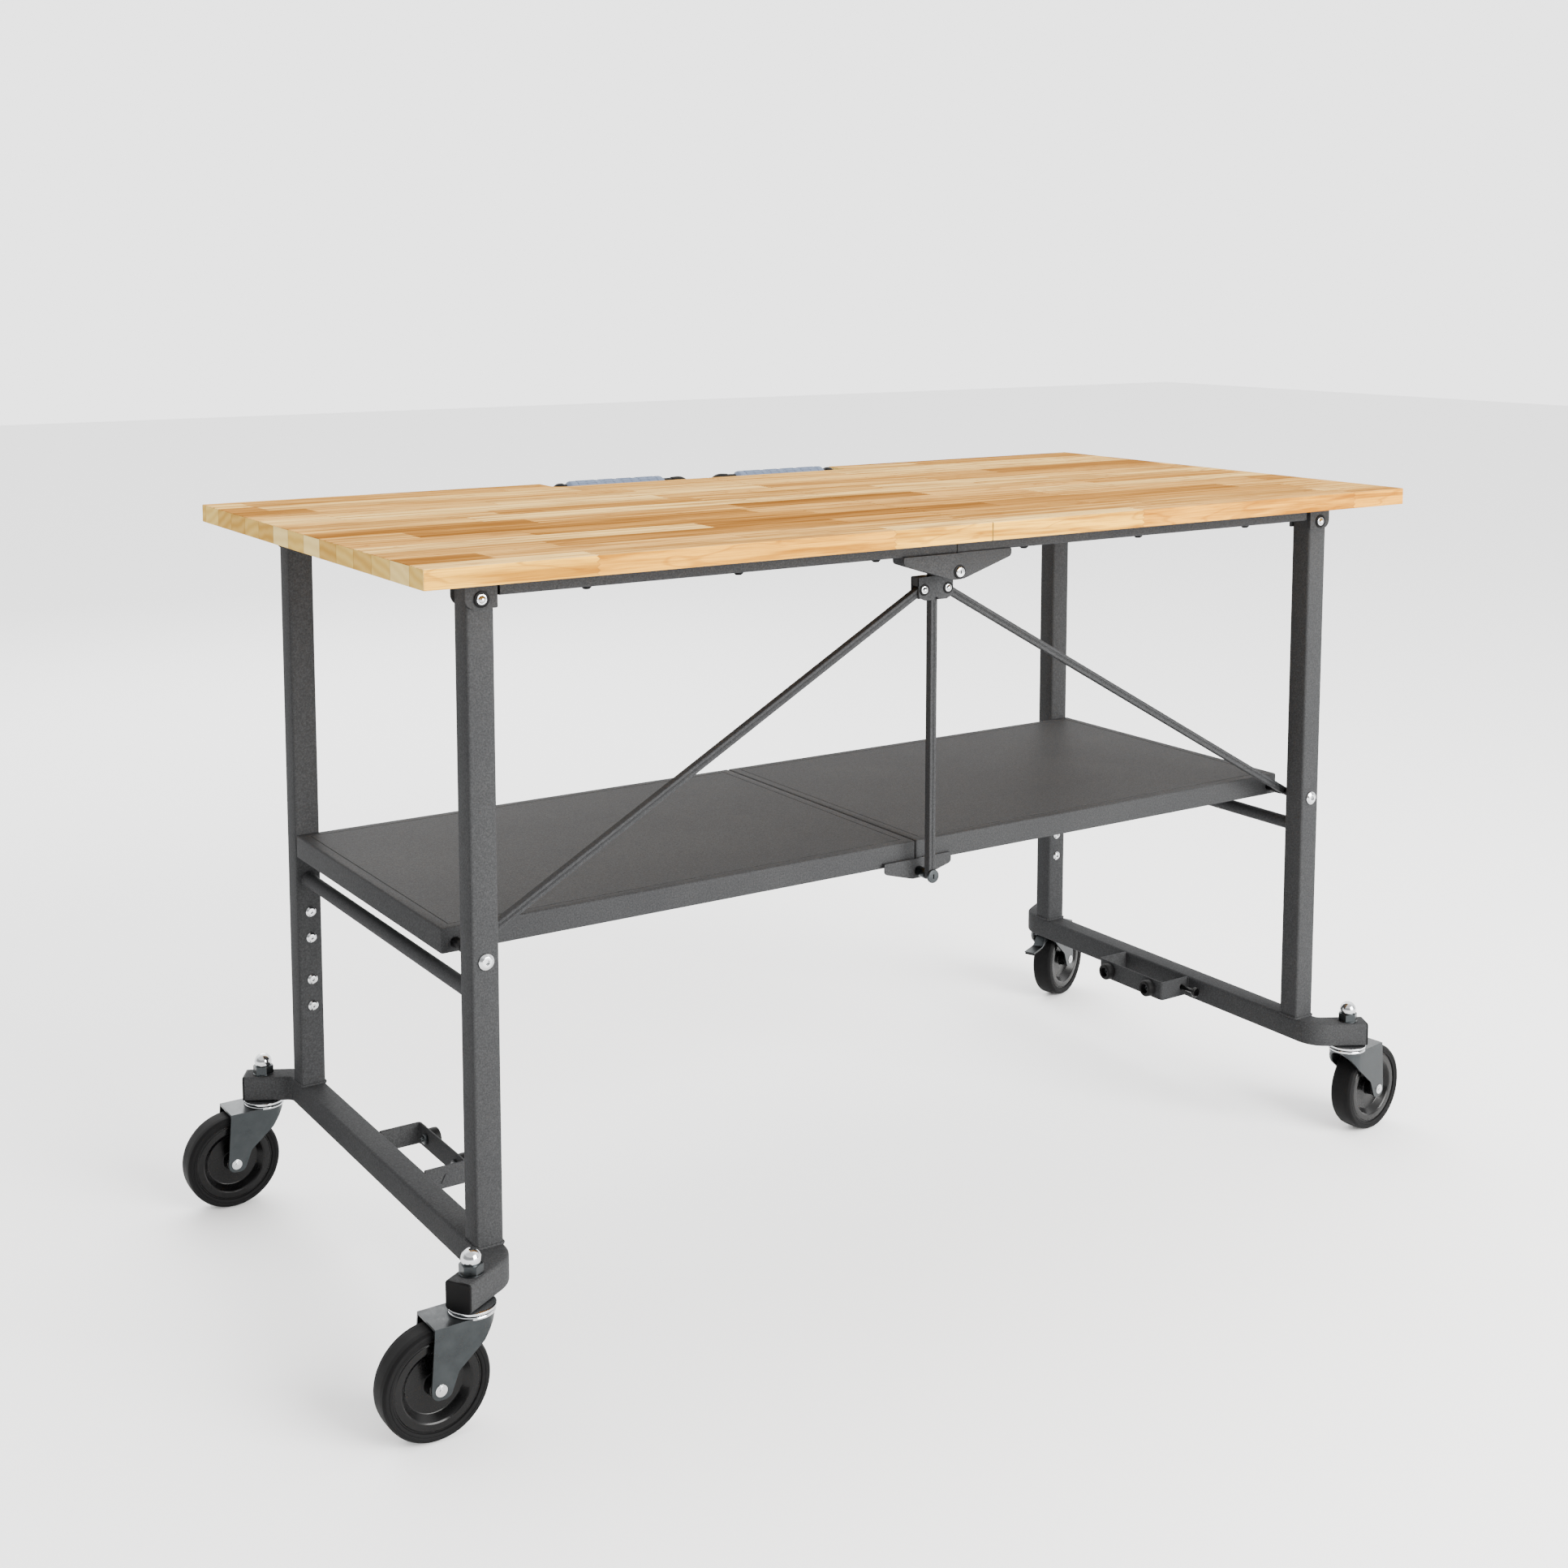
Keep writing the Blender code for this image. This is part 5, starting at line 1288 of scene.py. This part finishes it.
@dataclass
class ShelfHalf:
    """One half of the sheet-metal shelf."""

    side: Side
    sheet: float = 0.0012
    bend: float = 0.0022
    groove_in: float = 0.0095
    groove_depth: float = 0.0006
    flange: float = 0.0254
    hinge_length: float = 0.048
    eye: float = 0.0085

    @property
    def stand(self) -> float:
        """How far the hinge cheeks stand out from the flanges, the left ones outside the right ones."""
        return 0.006 if self.side is Side.LEFT else 0.0045

    def build(self, bench: Bench) -> None:
        """Make the pan, its hinge cheeks and, on the left, the hinge pins."""
        word, s = self.side.word, self.side.value
        low, high = bench.span(word + "_shelf")
        pivot = bench.middle(word + "_front_shelf_pivot_bolt")
        outer = pivot.x + s * 0.0145
        inner = s * 0.0006
        front, rear = low.y + self.stand, high.y - self.stand
        pan = block((inner, front, high.z - self.flange), (outer, rear, high.z))
        floor = min(pan.faces, key=lambda face: face.calc_center_median().z)
        bmesh.ops.delete(pan, geom=[floor], context="FACES_ONLY")
        upper = [edge for edge in pan.edges if len(edge.link_faces) == 2]
        bmesh.ops.bevel(pan, geom=upper, offset=self.bend, offset_type="OFFSET", segments=4, profile=0.5,
                        affect="EDGES", material=-1, clamp_overlap=True)
        roof = max(pan.faces, key=lambda face: face.calc_area())
        for thickness, depth in ((self.groove_in, 0.0), (0.0009, -self.groove_depth),
                                 (0.0009, self.groove_depth)):
            bmesh.ops.inset_region(pan, faces=[roof], thickness=thickness, depth=depth, use_even_offset=True)
        bmesh.ops.recalc_face_normals(pan, faces=pan.faces)
        if roof.normal.z < 0:
            bmesh.ops.reverse_faces(pan, faces=pan.faces)
        bmesh.ops.solidify(pan, geom=list(pan.faces), thickness=self.sheet)
        bmesh.ops.recalc_face_normals(pan, faces=pan.faces)
        bench.add(word + "_shelf_pan", pan, word + "_shelf", Finish.POWDER, 0, [word + "_shelf"], angle=28)
        lips = []
        for y0, way in ((front, 1), (rear, -1)):
            under = high.z - self.flange
            lips.append(block((inner + s * 0.004, y0 + way * 0.0002, under + 0.0001),
                              (outer - s * 0.004, y0 + way * 0.0130, under + 0.0013)))
        bench.add(word + "_shelf_hems", joined(*lips), word + "_shelf", Finish.POWDER, 0.0005)
        self.hinge(bench, front, rear, high.z)
        if s < 0:
            self.pins(bench)

    def hinge(self, bench: Bench, front: float, rear: float, top: float) -> None:
        """The tapered cheeks below the flanges, bent out from them."""
        word, s = self.side.word, self.side.value
        pin = bench.middle("front_shelf_hinge_pin")
        cheek_top = top - self.flange + 0.006
        outline = rounded([
            (-s * self.eye, pin.z - self.eye, self.eye * 0.8),
            (s * self.eye, pin.z - self.eye, self.eye * 0.8),
            (s * self.hinge_length, cheek_top - 0.0120, 0.005), (s * self.hinge_length, cheek_top, 0.0015),
            (s * 0.001, cheek_top), (-s * self.eye, pin.z + 0.002, 0.004)], 7)
        shapes = []
        for flange, e in ((front, -1), (rear, 1)):
            face = flange + e * self.stand
            ys = sorted((face, face - e * self.sheet))
            shapes.append(plate(outline, ys[0], ys[1], [circle(0, pin.z, PIN_HOLE)], "Y"))
            ys = sorted((face - e * 0.0001, flange - e * 0.0004))
            shapes.append(block((s * 0.0095, ys[0], cheek_top - 0.0014),
                                (s * (self.hinge_length - 0.001), ys[1], cheek_top - 0.0002)))
        bench.add(word + "_shelf_hinge", joined(*shapes), word + "_shelf", Finish.POWDER, 0.0004)

    def pins(self, bench: Bench) -> None:
        """The two hinge pins, the front one standing out through the centre bar."""
        for end in End:
            e = end.value
            node = end.word + "_shelf_hinge_pin"
            low, high = bench.span(node)
            x, z = (low.x + high.x) / 2, (low.z + high.z) / 2
            outer, inner = (low.y, high.y) if e < 0 else (high.y, low.y)
            seat = outer - e * 0.0026
            run = abs(seat - inner)
            shapes = [head_body(Head.SLOTTED, 0.0078, 0.0026, (x, seat, z), (0, e, 0)),
                      shank(PIN_RADIUS, 0, 0.001 - run, (x, seat, z), (0, e, 0)),
                      head_body(Head.NUT, 0.0048, 0.0028, (x, inner + e * 0.0030, z), (0, -e, 0))]
            if e < 0:
                bar = bench.span("centre_bar")[1].y + SLIDE_GAP
                stop = bench.span("left_shelf")[0].y - 0.0002
                shapes.append(bush(SLEEVE_BORE, 0.0058, stop - bar, (x, bar, z), (0, 1, 0)))
            bench.add(node + "_set", joined(*shapes), "left_shelf", Finish.ZINC, 0, [node])


@dataclass
class TopHingePins:
    """The two pins of the top's centre hinge, on the left half."""

    washer: float = 0.0076

    def build(self, bench: Bench) -> None:
        """Make both pins with their slotted heads, washers and nuts, and painted shade: a black bar set into
        each head's slot.
        """
        for end in End:
            e = end.value
            node = end.word + "_top_hinge_pin"
            low, high = bench.span(node)
            x, z = (low.x + high.x) / 2, (low.z + high.z) / 2
            outer, inner = (low.y, high.y) if e < 0 else (high.y, low.y)
            seat = outer - e * 0.0026
            run = abs(seat - inner)
            washer = bush(SLEEVE_BORE, self.washer, 0.0010, (x, seat, z), (0, e, 0), steps=44)
            # Painted shade: a black bar set into the slot of the pin's head, where only the slot's shade
            # falls. It rides in the washer's piece.
            slot_shade_at = sorted((seat + e * 0.0020, seat + e * 0.0030))
            slot = block((x - 0.0005, slot_shade_at[0], z - 0.0016), (x + 0.0005, slot_shade_at[1], z + 0.0016))
            # This piece holds the black washer and the painted slot shade.
            bench.add(node + "_washer", joined(washer, slot), "left_top", Finish.CAP, 0)
            shapes = [
                head_body(Head.SLOTTED, 0.0058, 0.0020, (x, seat + e * 0.0009, z), (0, e, 0)),
                shank(PIN_RADIUS, 0, 0.001 - run, (x, seat, z), (0, e, 0)),
                head_body(Head.NUT, 0.0050, 0.0033, (x, inner + e * 0.0035, z), (0, -e, 0)),
            ]
            if e < 0:
                start = bench.span("left_front_rail")[1].y - 0.0148
                stop = bench.span("centre_bar")[0].y - SLIDE_GAP
                if stop > start:
                    shapes.append(bush(SLEEVE_BORE, 0.0058, stop - start, (x, start, z), (0, 1, 0)))
            bench.add(node + "_set", joined(*shapes), "left_top", Finish.NICKEL, 0, [node])


@dataclass
class Linkage:
    """The centre bar, the runner on it and the two braces."""

    width: float = 0.009
    eye: float = 0.0052
    runner_width: float = 0.048
    runner_sheet: float = 0.002
    brace_bolt_x: float = 0.0165
    brace_bolt_drop: float = 0.0145

    def build(self, bench: Bench) -> None:
        """Make the three bars and the runner."""
        low, high = bench.span("centre_bar")
        y = (low.y + high.y) / 2
        lower = bench.middle("front_shelf_hinge_pin")
        upper = bench.middle("front_top_hinge_pin")
        self.bar(bench, "centre_bar", (0, lower.z), (0, upper.z), y, "centre_bar")
        run_low, run_high = bench.span("runner")
        bolt_z = run_high.z - self.brace_bolt_drop
        for side in Side:
            foot = bench.middle(side.word + "_front_shelf_pivot_bolt")
            brace, eye = side.word + "_brace", (side.value * self.brace_bolt_x, bolt_z)
            self.bar(bench, brace, eye, (foot.x, foot.z), y, brace)
        self.runner(bench, y, run_low, run_high, bolt_z)

    def bar(self, bench: Bench, word: str, start: Point, end: Point, y: float, body: str) -> None:
        """A square bar with a rounded eye at each end."""
        flat, length = self.width / 2, hypot(end[0] - start[0], end[1] - start[1])
        spread = acos(flat / self.eye)
        outline = [(0.002, -flat), (length - 0.002, -flat),
                   *arc((length, 0), self.eye, -pi / 2 + spread, pi / 2 - spread, 12),
                   (length - 0.002, flat), (0.002, flat),
                   *arc((0, 0), self.eye, pi / 2 + spread, 3 * pi / 2 - spread, 12)]
        bar = plate(outline, -flat, flat, [circle(0, 0, PIN_HOLE), circle(length, 0, PIN_HOLE)], "Y")
        angle = atan2(end[1] - start[1], end[0] - start[0])
        matrix = Matrix.Translation((start[0], y, start[1])) @ Matrix.Rotation(-angle, 4, "Y")
        bmesh.ops.transform(bar, matrix=matrix, verts=bar.verts)
        bench.add(word + "_square", bar, body, Finish.POWDER, 0.0011, [word], 3, 50)

    def runner(self, bench: Bench, y: float, low: Vector, high: Vector, bolt_z: float) -> None:
        """The bent channel that rides the centre bar."""
        half, top, bottom = self.runner_width / 2, high.z, low.z
        front, back = y - 0.0075, y + 0.0075
        t = self.runner_sheet
        outline = rounded([
            (half, top - 0.0002, 0.0015), (-half, top - 0.0002, 0.0015), (-half, bottom + 0.004, 0.005),
            (-half + 0.009, bottom, 0.004), (-0.0024, bottom, 0.0006), (-0.0024, bottom + 0.003, 0.0012),
            (0.0024, bottom + 0.003, 0.0012), (0.0024, bottom, 0.0006), (half - 0.009, bottom, 0.004),
            (half, bottom + 0.004, 0.005)], 6)
        holes = [circle(x, bolt_z, 0.0032) for x in (-self.brace_bolt_x, self.brace_bolt_x)]
        gap = self.width / 2 + 0.0006
        roof = [(-half + 0.001, front + 0.0002), (half - 0.001, front + 0.0002),
                (half - 0.001, back - 0.0002), (-half + 0.001, back - 0.0002)]
        slot = [(-gap, y - gap), (gap, y - gap), (gap, y + gap), (-gap, y + gap)]
        shapes = [plate(outline, front, front + t, holes, "Y"), plate(outline, back - t, back, holes, "Y"),
                  plate(roof, top - t, top - 0.0001, [slot])]
        for side in Side:
            edge = side.value * half
            shapes.append(block((edge, front + 0.0004, bolt_z + 0.0042),
                                (edge - side.value * t, back - 0.0004, top - 0.0006)))
        bench.add("runner_channel", joined(*shapes), "runner", Finish.POWDER, 0.0006, ["runner"])
        bolts = []
        for x in (-self.brace_bolt_x, self.brace_bolt_x):
            bolts.append(head_body(Head.DOME, 0.0043, 0.0030, (x, front - 0.0003, bolt_z), (0, -1, 0)))
            bolts.append(head_body(Head.NUT, 0.0044, 0.0022, (x, back, bolt_z), (0, 1, 0)))
            for at, way in ((front + 0.0002, 1), (back - 0.0002, -1)):
                bolts.append(shank(PIN_RADIUS, 0.0016, 0, (x, at, bolt_z), (0, way, 0), 20))
        bench.add("runner_bolts", joined(*bolts), "runner", Finish.NICKEL, 0)
        rings = [bush(0.0040, 0.0064, 0.0011, (x, front, bolt_z), (0, -1, 0), 0.0004, 36)
                 for x in (-self.brace_bolt_x, self.brace_bolt_x)]
        bench.add("runner_bolt_rings", joined(*rings), "runner", Finish.CAP, 0)


# Casters


@dataclass
class Caster:
    """A swivel caster below a stem: fork, race, wheel and axle."""

    side: Side
    end: End
    radius: float = 0.0555
    tread_half: float = 0.0145
    core_radius: float = 0.0450
    fork_half: float = 0.0215
    sheet: float = 0.0024
    fork_top: float = 0.1165
    heading: float = field(init=False, default=0.0)
    trail: float = field(init=False, default=0.0)
    stem: Vector = field(init=False, default_factory=Vector)

    @property
    def place(self) -> str:
        """The start of this corner's node names."""
        return f"{self.side.word}_{self.end.word}_"

    @property
    def matrix(self) -> Matrix:
        """The move from the caster's own frame, with X along its trail, to the bench's."""
        return Matrix.Translation((self.stem.x, self.stem.y, 0)) @ Matrix.Rotation(self.heading, 4, "Z")

    def build(self, bench: Bench) -> None:
        """Read the caster's place and heading from its nodes, then make its pieces."""
        self.stem = bench.middle(self.place + "caster_stem")
        wheel = bench.middle(self.place + "tyre")
        out = wheel - self.stem
        self.heading, self.trail = atan2(out.y, out.x), hypot(out.x, out.y)
        self.fork(bench)
        self.tyre(bench)
        self.core(bench)
        self.axle(bench)

    def put(self, bench: Bench, word: str, body: bmesh.types.BMesh, rides: str, finish: Finish,
            edge: float = 0.0, stands_for: Iterable[str] = (), angle: float = 38.0,
            segments: int = 2) -> None:
        """Turn a body from the caster's own frame to the bench's and add it."""
        bmesh.ops.transform(body, matrix=self.matrix, verts=body.verts)
        bench.add(self.place + word, body, rides, finish, edge, stands_for, segments, angle)

    def fork(self, bench: Bench) -> None:
        """The stamped fork with its pressed race."""
        t, top, half, axle = self.trail, self.fork_top, self.fork_half, self.radius
        side_view = rounded([
            (t + 0.0050, top + 0.001), (t + 0.0094, axle + 0.003, 0.004), (t + 0.0094, axle - 0.0096, 0.0088),
            (t - 0.0094, axle - 0.0096, 0.0085), (t - 0.0186, axle + 0.0140, 0.006),
            (-0.0034, axle + 0.0365, 0.006), (-0.0220, top - 0.001, 0.001), (-0.0220, top + 0.001)], 10)

        def plan(r: float, reach: float) -> list[Point]:
            """The fork's outline from above: a half round with straight cheeks."""
            return [*arc((0, 0), r, pi / 2, 3 * pi / 2, 28), (0.0085, -r), (reach, -r), (reach, r),
                    (0.0085, r)]

        outer = plate(side_view, -0.04, 0.04, (), "Y")
        body = carved(outer, ("INTERSECT", plate(plan(half, t + 0.04), 0.0, top)),
                      ("DIFFERENCE", plate(plan(half - self.sheet, t + 0.06), -0.01, top - self.sheet)),
                      ("DIFFERENCE", shank(0.0064, 0.02, -0.02, (0, 0, top), (0, 0, 1), 28)),
                      ("DIFFERENCE", shank(0.0042, 0.05, -0.05, (t, 0, axle), (0, 1, 0), 28)))
        self.put(bench, "fork_stamping", body, self.place + "fork", Finish.ZINC, 0.0007,
                 [self.place + "fork"], 32, 3)
        race = soft([(0.0066, 0.0014), (0.0196, 0.0014), (0.0226, 0.0006), (0.0232, -0.0004),
                     (0.0232, -0.0018), (0.0218, -0.0024), (0.0190, -0.0008), (0.0066, -0.0008)], 0.0004, 3)
        self.put(bench, "fork_race", turned(race, (0, 0, top), (0, 0, 1), 56, ring=True), self.place + "fork",
                 Finish.NICKEL, 0)

    def tyre(self, bench: Bench) -> None:
        """The tyre: crowned tread, soft shoulders and a moulded line on each wall."""
        half, r, bead = self.tread_half, self.radius, self.core_radius + 0.0002
        side = [(bead, half - 0.0020), (bead + 0.0006, half - 0.0009, 0.0006),
                (r - 0.0072, half - 0.0004, 0.0006), (r - 0.0066, half - 0.0009, 0.0003),
                (r - 0.0060, half - 0.0002, 0.0004), (r - 0.0026, half - 0.0002, 0.0016),
                (r - 0.0006, half - 0.0034, 0.0020), (r - 0.0001, half - 0.0085, 0.003)]
        ring = rounded(side + mirrored(side), 4)
        self.put(bench, "tyre_rubber", turned(ring, (self.trail, 0, r), (0, -1, 0), 96, ring=True),
                 self.place + "wheel", Finish.TYRE, 0, [self.place + "tyre"], 50)

    def core(self, bench: Bench) -> None:
        """The moulded centre: a rim, a dished web and a hub."""
        rim, hub = self.tread_half - 0.0016, self.fork_half - self.sheet - 0.0016
        side = [(0.0044, hub), (0.0086, hub, 0.0006), (0.0098, hub - 0.0012, 0.0006),
                (0.0108, 0.0052, 0.0012), (0.0296, 0.0046, 0.0016), (0.0352, rim - 0.0010, 0.0010),
                (0.0366, rim, 0.0006), (0.0432, rim, 0.0005), (0.0440, rim - 0.0007, 0.0004),
                (self.core_radius, rim - 0.0007)]
        ring = rounded(side + mirrored(side), 4)
        self.put(bench, "wheel_centre", turned(ring, (self.trail, 0, self.radius), (0, -1, 0), 96, ring=True),
                 self.place + "wheel", Finish.BLACK, 0, [self.place + "wheel_core"], 40)

    def axle(self, bench: Bench) -> None:
        """The hollow axle rivet with its nut and washer."""
        shapes = []
        reach = self.fork_half
        for way in (-1, 1):
            at = (self.trail, way * (reach - 0.0001), self.radius)
            shapes.append(bush(0.0041, 0.0060, 0.0008, at, (0, way, 0), 0.0002, 36))
            lifted = (self.trail, way * (reach + 0.0001), self.radius)
            shapes.append(head_body(Head.NUT, 0.0041, 0.0009, lifted, (0, way, 0)))
        shapes.append(shank(0.0039, reach, -reach, (self.trail, 0, self.radius), (0, 1, 0), 28))
        self.put(bench, "axle_set", joined(*shapes), self.place + "fork", Finish.NICKEL, 0)


@dataclass
class BrakePedal:
    """The foot brake on the right rear caster."""

    pivot_u: float = -0.006
    pivot_z: float = 0.1025
    half: float = 0.0080
    pin_half: float = 0.0165

    def build(self, bench: Bench, caster: Caster) -> None:
        """Make the lever, its pin and its rubber tread.

        Args:
            bench: The bench.
            caster: The caster that carries the pedal.
        """
        u, z = self.pivot_u, self.pivot_z
        outline = rounded([(u + 0.0045, z + 0.0030, 0.0015), (u + 0.0045, z - 0.0034, 0.0015),
                           (u - 0.0180, z - 0.0140, 0.006), (u - 0.0455, z - 0.0160, 0.0007),
                           (u - 0.0455, z - 0.0142, 0.0007), (u - 0.0180, z - 0.0118, 0.006),
                           (u - 0.0045, z + 0.0030, 0.003)], 5)
        lever = plate(outline, -self.half, self.half, (), "Y")
        profile = [(0, self.pin_half), (0.0022, self.pin_half), (0.0022, -self.pin_half), (0, -self.pin_half)]
        pin = turned(soft(profile, 0.0003), (u, 0, z), (0, 1, 0), 24)
        body = joined(lever, pin)
        bmesh.ops.transform(body, matrix=caster.matrix, verts=body.verts)
        bench.add("brake_lever", body, "brake_pedal", Finish.ZINC, 0.0006, ["brake_pedal"])
        tread = plate(rounded([(u - 0.0450, z - 0.0161, 0.0006), (u - 0.0215, z - 0.0146, 0.0006),
                               (u - 0.0215, z - 0.0162, 0.0006), (u - 0.0450, z - 0.0184, 0.0006)], 3),
                      -self.half + 0.0006, self.half - 0.0006, (), "Y")
        bmesh.ops.transform(tread, matrix=caster.matrix, verts=tread.verts)
        bench.add("brake_tread", tread, "brake_pedal", Finish.CAP, 0.0004)


# The studio


@dataclass(frozen=True)
class Softbox:
    """A square studio light."""

    name: str
    place: Point
    aim_at: Point
    size: float
    power: float
    colour: Point = (1.0, 1.0, 1.0)

    def build(self) -> None:
        """Hang the light and turn it to its target."""
        data = bpy.data.lights.new(self.name, "AREA")
        data.shape, data.size, data.energy, data.color = "SQUARE", self.size, self.power, self.colour
        obj = bpy.data.objects.new(self.name, data)
        bpy.context.scene.collection.objects.link(obj)
        obj.location = self.place
        obj.rotation_euler = (Vector(self.aim_at) - Vector(self.place)).to_track_quat("-Z", "Y").to_euler()


@dataclass
class Studio:
    """A pale floor, soft light and the camera. The world is bright behind the bench and dimmer round it."""

    camera_place: Point = (-1.3791, -2.0139, 1.0943)
    yaw: float = 0.5801
    pitch: float = 0.1087
    lens: float = 46.92
    shift: float = -0.18
    backdrop: float = 3.0
    room: float = 0.75
    overhead: float = 2.2
    overhead_spread: float = radians(120)
    floor_half: float = 14.0
    floor_drop: float = 0.0006
    sensor: float = 36.0
    room_to_backdrop: Point = (-0.30, 0.45)
    lights: tuple[Softbox, ...] = (
        Softbox("key", (1.3, -4.0, 1.9), (0.0, 0.0, 0.45), 3.0, 760.0, (1.0, 0.99, 0.97)),
        Softbox("rim", (0.4, 3.4, 2.6), (0.0, 0.0, 0.5), 2.4, 90.0),
    )

    def build(self, bench: Bench) -> None:
        """Set up the floor, the world, the lights and the camera."""
        self.floor()
        self.world()
        for light in self.lights:
            light.build()
        sky = bpy.data.lights.new("overhead", "SUN")
        sky.energy, sky.angle = self.overhead, self.overhead_spread
        bpy.context.scene.collection.objects.link(bpy.data.objects.new("overhead", sky))
        self.camera(bench)

    def floor(self) -> None:
        """Lay the paper floor just under the wheels."""
        floor = bmesh.new()
        bmesh.ops.create_grid(floor, x_segments=4, y_segments=4, size=self.floor_half)
        bmesh.ops.translate(floor, verts=floor.verts, vec=(0, 0, -self.floor_drop))
        mesh = bpy.data.meshes.new("studio_floor")
        floor.to_mesh(mesh)
        floor.free()
        obj = bpy.data.objects.new("studio_floor", mesh)
        bpy.context.scene.collection.objects.link(obj)
        mesh.materials.append(StudioPaper().build())

    def world(self) -> None:
        """Make a white world whose strength depends on the direction."""
        world = bpy.data.worlds.new("studio")
        world.use_nodes = True
        tree, back = world.node_tree, world.node_tree.nodes["Background"]
        back.inputs["Color"].default_value = (1.0, 1.0, 1.0, 1.0)
        way = tree.nodes.new("ShaderNodeTexCoord")
        facing = tree.nodes.new("ShaderNodeVectorMath")
        facing.operation = "DOT_PRODUCT"
        facing.inputs[1].default_value = (sin(self.yaw), cos(self.yaw), 0.0)
        blend = tree.nodes.new("ShaderNodeMapRange")
        blend.interpolation_type = "SMOOTHSTEP"
        for target, value in zip(blend.inputs[1:5], (*self.room_to_backdrop, self.room, self.backdrop)):
            target.default_value = value
        tree.links.new(way.outputs["Generated"], facing.inputs[0])
        tree.links.new(facing.outputs["Value"], blend.inputs[0])
        tree.links.new(blend.outputs[0], back.inputs["Strength"])
        bpy.context.scene.world = world

    def camera(self, bench: Bench) -> None:
        """Stand the camera in front of the bench, to the left and above the top."""
        data = bpy.data.cameras.new("studio_camera")
        data.lens, data.sensor_width, data.shift_y = self.lens, self.sensor, self.shift
        data.clip_start, data.clip_end = 0.05, 60.0
        camera = bpy.data.objects.new("studio_camera", data)
        bpy.context.scene.collection.objects.link(camera)
        camera.location = Vector(self.camera_place) + bench.shift
        camera.rotation_euler = (pi / 2 - self.pitch, 0, -self.yaw)
        bpy.context.scene.camera = camera


def main() -> None:
    """Build the bench from its boards down to its casters, then the studio."""
    logging.basicConfig(level=logging.INFO, format="%(message)s")
    for obj in list(bpy.data.objects):
        if obj.type in {"LIGHT", "CAMERA"} or obj.name == "Cube":
            bpy.data.objects.remove(obj, do_unlink=True)
    bench = Bench()
    for side in Side:
        BoardHalf(side).build(bench)
        for end in End:
            TopRail(side, end).build(bench)
        LegFrame(side).build(bench)
        ShelfHalf(side).build(bench)
    TopHingePins().build(bench)
    LatchPin().build(bench)
    Linkage().build(bench)
    for side in Side:
        for end in End:
            caster = Caster(side, end)
            caster.build(bench)
            if side is Side.RIGHT and end is End.REAR:
                BrakePedal().build(bench, caster)
    Studio().build(bench)
    LOG.info("%d pieces", bench.count)


if __name__ == "__main__":
    main()
